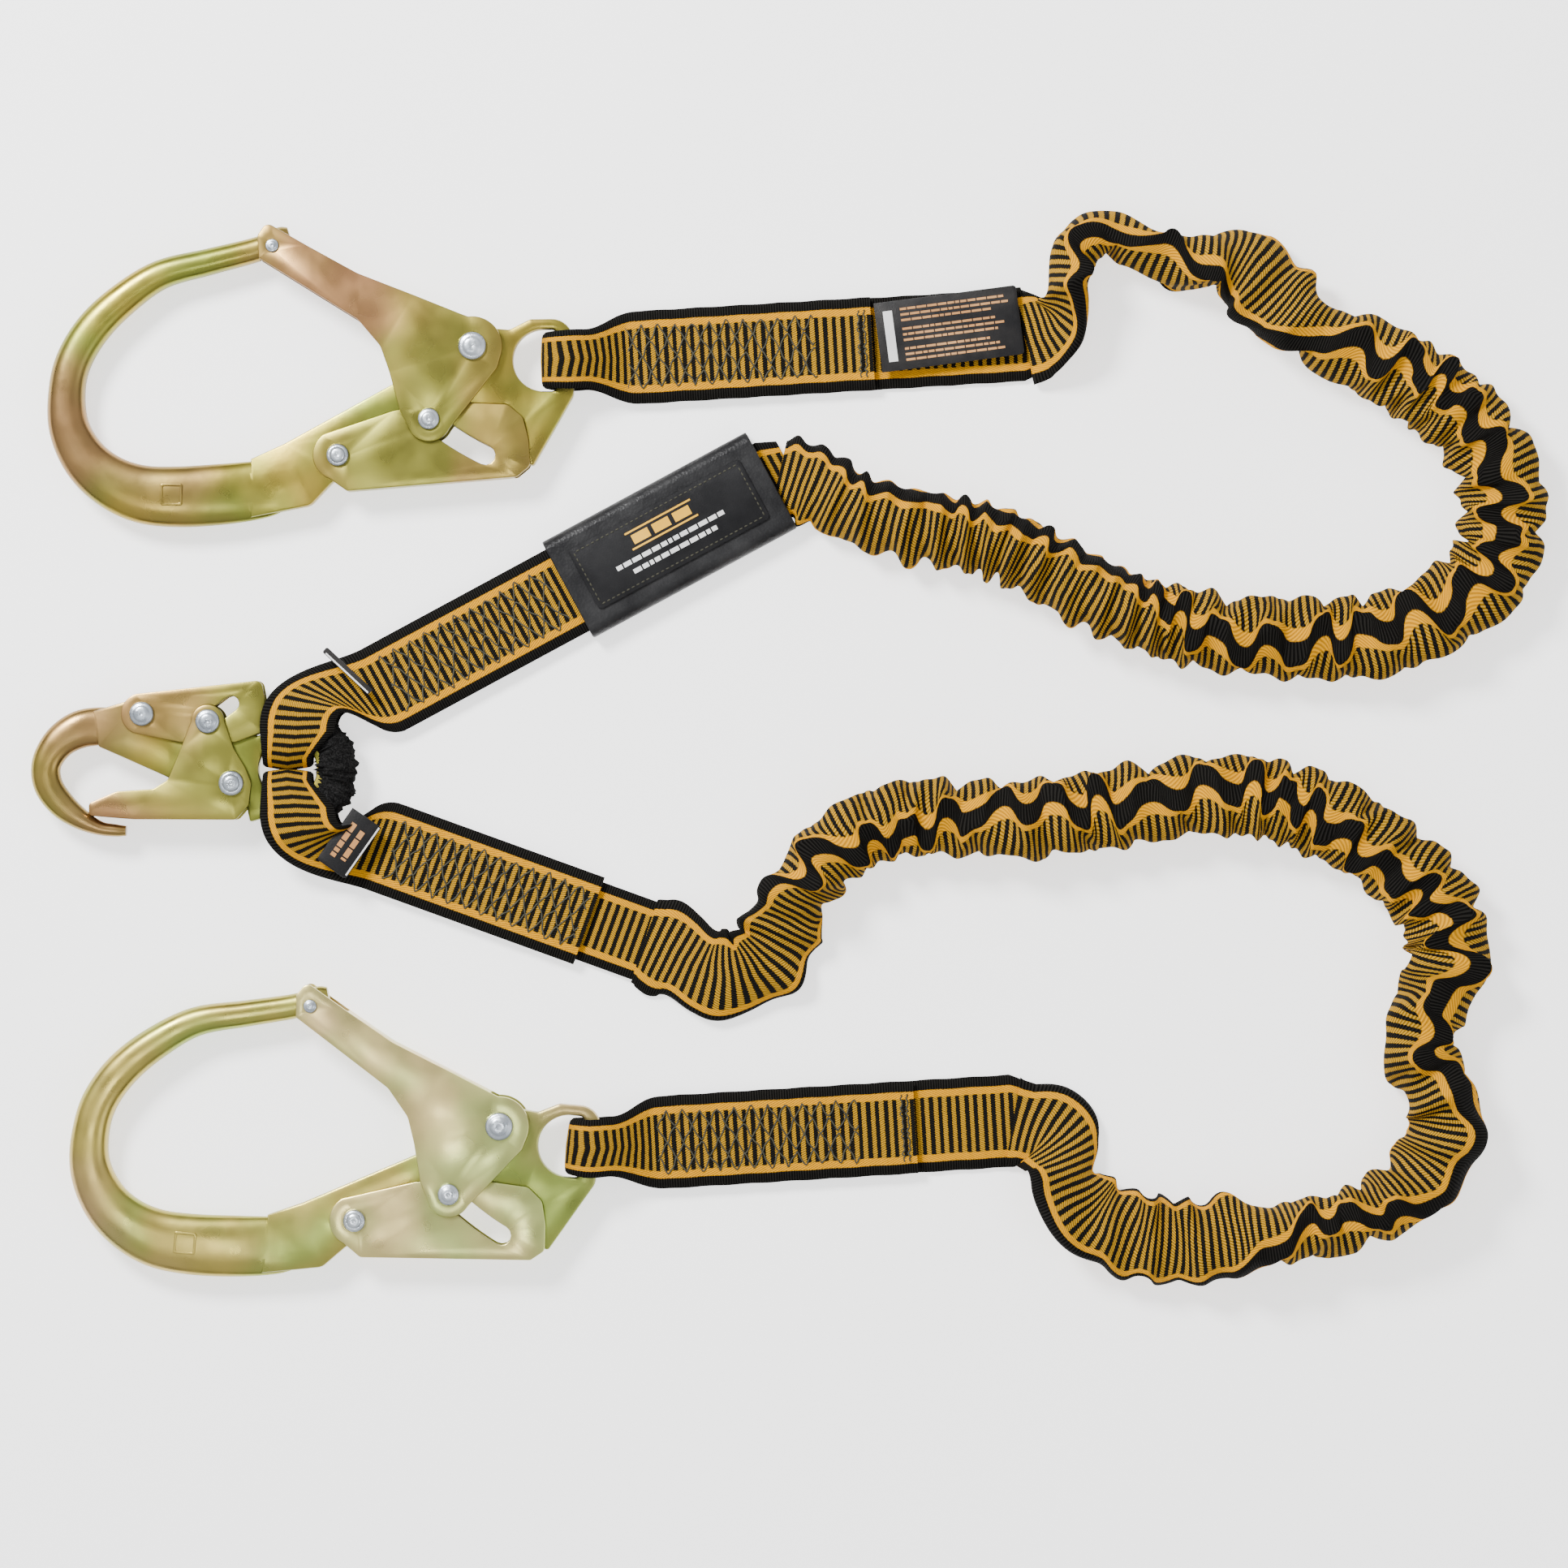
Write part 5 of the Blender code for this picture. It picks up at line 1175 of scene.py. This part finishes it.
def gathered_leg(side, route, look, drift):
    """A tubular web gathered on its core: its edges meander and its two faces ridge and flare."""
    length, line = leg_course(route)
    spots, crease = gathers(line, length, look, drift)
    rest_on_floor(spots)
    along = web_lengths(spots, crease)
    across = web_coordinates()[0][None, :] * HALF_WEB
    uv = np.stack(np.broadcast_arrays(along, across), -1).reshape(-1, 2)
    verts = (spots.reshape(-1, 3) + np.array(FRAME_SHIFT)) * MM
    leg = new_object("leg_web_" + side, verts, tube_faces(len(line), COLUMNS), MATS["webbing"], "webbing",
                     ["leg_sheath_" + side, "leg_core_" + side], uv, 80)
    centres = line.copy()
    centres[:, 2] = 0.5 * (spots[:, :, 2].min(axis=1) + spots[:, :, 2].max(axis=1))
    print("leg", side, "path", round(length), "mm, webbing", round(float(along[-1].mean())), "mm")


# ---- label cover and tags ------------------------------------------------------------------------
def swept_section(name, outline, stations, place, mat, body, stands_for):
    """An (across, height) outline drawn along the strap; stations are (length, inset)."""
    verts = []
    for s, inset in stations:
        verts += at_place(place, [(s, v, z) for v, z in offset_loop(outline, inset)])
    new_object(name, verts, tube_faces(len(stations), len(outline)), mat, body, stands_for,
               sharp=50)


INK_THICK = 0.12


def bar_print(name, rects, z, place, mat, body):
    """Flat printed bars, (x0, y0, x1, y1) each, as thin raised ink."""
    verts, faces = [], []
    for x0, y0, x1, y1 in rects:
        base = len(verts)
        for height in (z, z + INK_THICK):
            verts += [(x0, y0, height), (x1, y0, height), (x1, y1, height), (x0, y1, height)]
        faces += [tuple(base + i for i in f) for f in ((3, 2, 1, 0), (4, 5, 6, 7), (0, 1, 5, 4), (1, 2, 6, 5),
                                                        (2, 3, 7, 6), (3, 0, 4, 7))]
    new_object(name, at_place(place, verts), faces, mat, body)


def dashes(x0, x1, y, height, seed, gap=0.7):
    """A row of plain dashes of uneven length, which says nothing."""
    out = []
    x = x0
    k = seed
    while x < x1 - 1:
        run = 1.6 + 2.6 * abs(math.sin(k * 2.7))
        out.append((x, y, min(x + run, x1), y + height))
        x += run + gap
        k += 1
    return out


def stitched_border(name, x0, y0, x1, y1, z, place, body):
    """A line of short sewn stitches round a rectangle."""
    pitch = 2.4
    verts, faces = [], []
    corners = [(x0, y0), (x1, y0), (x1, y1), (x0, y1)]
    for a, b in zip(corners, corners[1:] + corners[:1]):
        way = (Vector(b) - Vector(a))
        count = int(way.length / pitch)
        way.normalize()
        side = Vector((-way.y, way.x))
        for k in range(count):
            first = Vector(a) + way * (k + 0.15) * pitch
            base = len(verts)
            for share, size in ((0, 0.12), (0.3, 0.34), (0.7, 0.34), (1, 0.12)):
                spot = first + way * share * pitch * 0.7
                for c in range(6):
                    angle = 2 * math.pi * c / 6
                    verts.append((*(spot + side * math.cos(angle) * size), z + math.sin(angle) * size * 0.8))
            faces += [tuple(base + i for i in f) for f in tube_faces(4, 6)]
    new_object(name, at_place(place, verts), faces, MATS["stitch"], body, sharp=80)


def label_cover():
    place = placed((*COVER_CENTRE, 0), COVER_TURN)
    half, w, t, top = COVER_LENGTH / 2, COVER_HALF, COVER_WALL, COVER_TOP
    flap = ([(w, 5.4), (w + t, 5.4)] + arc((w - 3.6, top - 5), 5, 0, 90, 14)
            + [(w * 0.5, top + 0.15), (0, top + 0.2), (-w * 0.5, top + 0.15)]
            + arc((-w + 3.6, top - 5), 5, 90, 180, 14) + [(-w - 1.4, 1.0), (-w, 1.0)]
            + arc((-w + 3.6, top - 5), 3.6, 180, 90, 14) + arc((w - 3.6, top - 5), 3.6, 90, 0, 14))
    ends = [(-half, 0.45), (-half + 0.3, 0.12), (-half + 0.8, 0.0), (-half + 2.4, 0.0)]
    stations = ends + [(s, 0.0) for s in np.linspace(-half + 6, half - 6, 12)]
    stations += [(-s, inset) for s, inset in ends[::-1]]
    swept_section("label_flap_look", flap, stations, place, MATS["vinyl"], "label_flap",
                  ["label_cover_flap"])
    patch = rounded([(-42, -14.5, 2), (42, -14.5, 2), (42, 14.5, 2), (-42, 14.5, 2)], 6)
    cut_piece("label_patch", soft_plate(patch, top + 0.25, top + 1.05, edge=0.3), place, [], MATS["patch"],
              "label_flap", ["label_cover_patch"])
    z = top + 1.02
    stitched_border("label_patch_stitch", -40, -12.6, 40, 12.6, z, place, "label_flap")
    block = [(-17, 1.2, 15, 2.0), (-17, 8.6, 15, 9.4)] + [(x, 3.2, x + 8, 7.4) for x in (-15, -5, 5)]
    bar_print("label_block", block, z, place, MATS["ink_yellow"], "label_flap")
    lines = dashes(-27, 27, -3.6, 2.0, 1) + dashes(-21, 21, -8.0, 2.0, 5)
    bar_print("label_lines", lines, z, place, MATS["ink_white"], "label_flap")
    for node, mat in (("label_cover_back", "vinyl"), ("label_hook_strip", "tape"),
                      ("label_loop_strip", "tape"), ("label_booklet", "paper")):
        data = frame["nodes"][node].data
        data.materials.clear()
        data.materials.append(MATS[mat])


TAG_THICK = 0.8
TAG_INK = TAG_THICK - 0.02


def tag_piece(name, at, turn, length, width, z, body, stands_for, edge_mat=None, lines=()):
    """A thin sewn tag with rounded free corners and plain printed dashes."""
    place = placed((*at, z), turn)
    half = width / 2
    corner = min(1.5, half * 0.6)
    outline = rounded([(0, -half), (length, -half, corner), (length, half, corner), (0, half)], 6)
    cut_piece(name, soft_plate(outline, 0.0, TAG_THICK, edge=0.25), place, [], MATS["tag"], body,
              stands_for)
    if edge_mat:
        edge = [(0.6, half - 1.0, length - 1.5, half - 0.3)]
        bar_print(name + "_edge", edge, TAG_INK, place, MATS[edge_mat], body)
    if lines:
        bar_print(name + "_lines", lines, TAG_INK, place, MATS["ink_tan"], body)
    return place


def tags():
    rows = []
    for block in range(3):
        base = 8.2 - block * 8.6
        rows += dashes(11, 56 - 4 * block, base + 2.4, 1.0, 3 * block + 1, 0.5)
        rows += dashes(11, 58 - 3 * block, base, 1.0, 5 * block + 2, 0.5)
        rows += dashes(11, 50 + 2 * block, base - 2.4, 1.0, 7 * block + 3, 0.5)
    place = tag_piece("warning_tag_look", (150.5, 179.5), turn=7.5, length=62.0, width=30.0, z=8.0,
                      body="warning_tag", stands_for=["warning_tag"], lines=rows)
    bar_print("warning_tag_block", [(3.5, -11, 7.5, 11)], TAG_INK, place, MATS["ink_white"], "warning_tag")
    tag_piece("impact_tag_lower_look", (-69.5, -27.5), turn=235.0, length=27.0, width=15.0, z=15.8,
              body="harness_hook", stands_for=["impact_tag_lower"], edge_mat="ink_white",
              lines=dashes(6, 21, 0.8, 2.4, 2) + dashes(5, 22, -4.0, 2.4, 4))
    tag_piece("impact_tag_upper_look", (-68, 26.5), turn=137.0, length=27.0, width=3.0, z=15.8,
              body="harness_hook", stands_for=["impact_tag_upper"], edge_mat="ink_white")


# ---- scene ---------------------------------------------------------------------------------------
VIEW_CENTRE = (0.1101, -0.0143)
VIEW_WIDTH = 0.676
CAMERA_HEIGHT = 2.4
FOCUS_HEIGHT = 0.012          # VIEW_WIDTH is true at this height, the middle of the object
SKY_LEVEL = 0.85
FLOOR_HALF = 6.0
FLOOR_DROP = 0.0003
FLOOR_GLOW = 1.4


def camera():
    data = bpy.data.cameras.new("camera")
    data.sensor_width = 36
    data.lens = data.sensor_width * (CAMERA_HEIGHT - FOCUS_HEIGHT) / VIEW_WIDTH
    data.clip_end = 50
    obj = linked("camera", data)
    obj.location = (*VIEW_CENTRE, CAMERA_HEIGHT)
    bpy.context.scene.camera = obj


def area_light(name, place, aim, size, power):
    data = bpy.data.lights.new(name, "AREA")
    data.shape = "DISK"
    data.size = size
    data.energy = power
    obj = linked(name, data)
    obj.location = place
    obj.rotation_euler = (Vector(aim) - Vector(place)).to_track_quat("-Z", "Y").to_euler()


def floor():
    paint = Paint("floor_paper")
    shade = paint.mix(paint.noise(3, 2), (0.92, 0.92, 0.92, 1), (0.95, 0.95, 0.95, 1))
    mat = paint.set(Base_Color=shade, Roughness=0.9, Specular_IOR_Level=0.1, Emission_Color=(1, 1, 1, 1),
                    Emission_Strength=FLOOR_GLOW)
    mesh = bpy.data.meshes.new("floor")
    size = FLOOR_HALF
    corners = [(-size, -size, 0), (size, -size, 0), (size, size, 0), (-size, size, 0)]
    mesh.from_pydata(corners, [], [(0, 1, 2, 3)])
    mesh.materials.append(mat)
    obj = linked("floor", mesh)
    obj.location = (0, 0, -FLOOR_DROP)


def studio():
    """Soft light from all sides, brightest from the side and above, and three lamps."""
    floor()
    sky = bpy.data.worlds.new("studio")
    bpy.context.scene.world = sky
    sky.use_nodes = True
    tree = sky.node_tree
    background = tree.nodes["Background"]
    background.inputs[0].default_value = (1, 1, 1, 1)
    height = tree.nodes.new("ShaderNodeSeparateXYZ")
    tree.links.new(tree.nodes.new("ShaderNodeTexCoord").outputs["Generated"], height.inputs[0])
    ramp = tree.nodes.new("ShaderNodeValToRGB")
    stops = ((0.0, 0.12), (0.22, 0.16), (0.48, 1.0), (0.86, 1.0), (0.97, 0.62))
    for number, (place, level) in enumerate(stops):
        stop = ramp.color_ramp.elements[number] if number < 2 else ramp.color_ramp.elements.new(place)
        stop.position = place
        stop.color = (level, level, level, 1)
    tree.links.new(height.outputs[2], ramp.inputs[0])
    gain = tree.nodes.new("ShaderNodeMath")
    gain.operation = "MULTIPLY"
    gain.inputs[1].default_value = SKY_LEVEL
    tree.links.new(ramp.outputs[0], gain.inputs[0])
    tree.links.new(gain.outputs[0], background.inputs[1])
    area_light("key", (-0.8, 1.0, 1.4), (0.05, 0, 0), size=0.55, power=62)
    area_light("fill", (1.3, -0.6, 1.5), (0.1, 0, 0), size=1.0, power=6)
    area_light("lower_hook_glow", (-0.24, -0.42, 2.3), (-0.1, -0.2, 0), size=0.4, power=6)


studio()
camera()
anchor_hook("upper", UPPER_PIVOT, 0.0, MATS["forged"], MATS["pressed"])
# the lower hook wears the lighter zinc copies, a painted reflection of bright light on its metal
anchor_hook("lower", LOWER_PIVOT, LOWER_TURN, MATS["forged_painted_reflection"], MATS["pressed_painted_reflection"])
snap_hook()
anchor_strap("upper", UPPER_PIVOT, 0.0, seam=(147.1, 177.4), end=(213.0, 181.0), sewn_from=(26, 108))
anchor_strap("lower", LOWER_PIVOT, LOWER_TURN, seam=(165.7, -161.4), end=(208.5, -158.5), sewn_from=(29, 116))
upper_start, upper_reach = strap_start(COVER_CENTRE, UPPER_STRAP_TURN)
harness_strap("upper", 1, upper_start, UPPER_STRAP_TURN, doubled=upper_reach - 44,
              whole=upper_reach + COVER_LENGTH / 2 + 2, seam_rows=(3, 84))
lower_start, lower_reach = strap_start(LOWER_STRAP_END, LOWER_STRAP_TURN)
harness_strap("lower", -1, lower_start, LOWER_STRAP_TURN, doubled=lower_reach, whole=lower_reach + 26,
              seam_rows=(3, lower_reach - 3))
lumpy_pad()
gathered_leg("upper", [(107.5, 119.6)] + UPPER_LEG + [(213.8, 180.6)], UPPER_LOOK, drift=0.7)
gathered_leg("lower", [(49.5, -81.0)] + LOWER_LEG + [(209.0, -159.4)], LOWER_LOOK, drift=2.9)
label_cover()
tags()
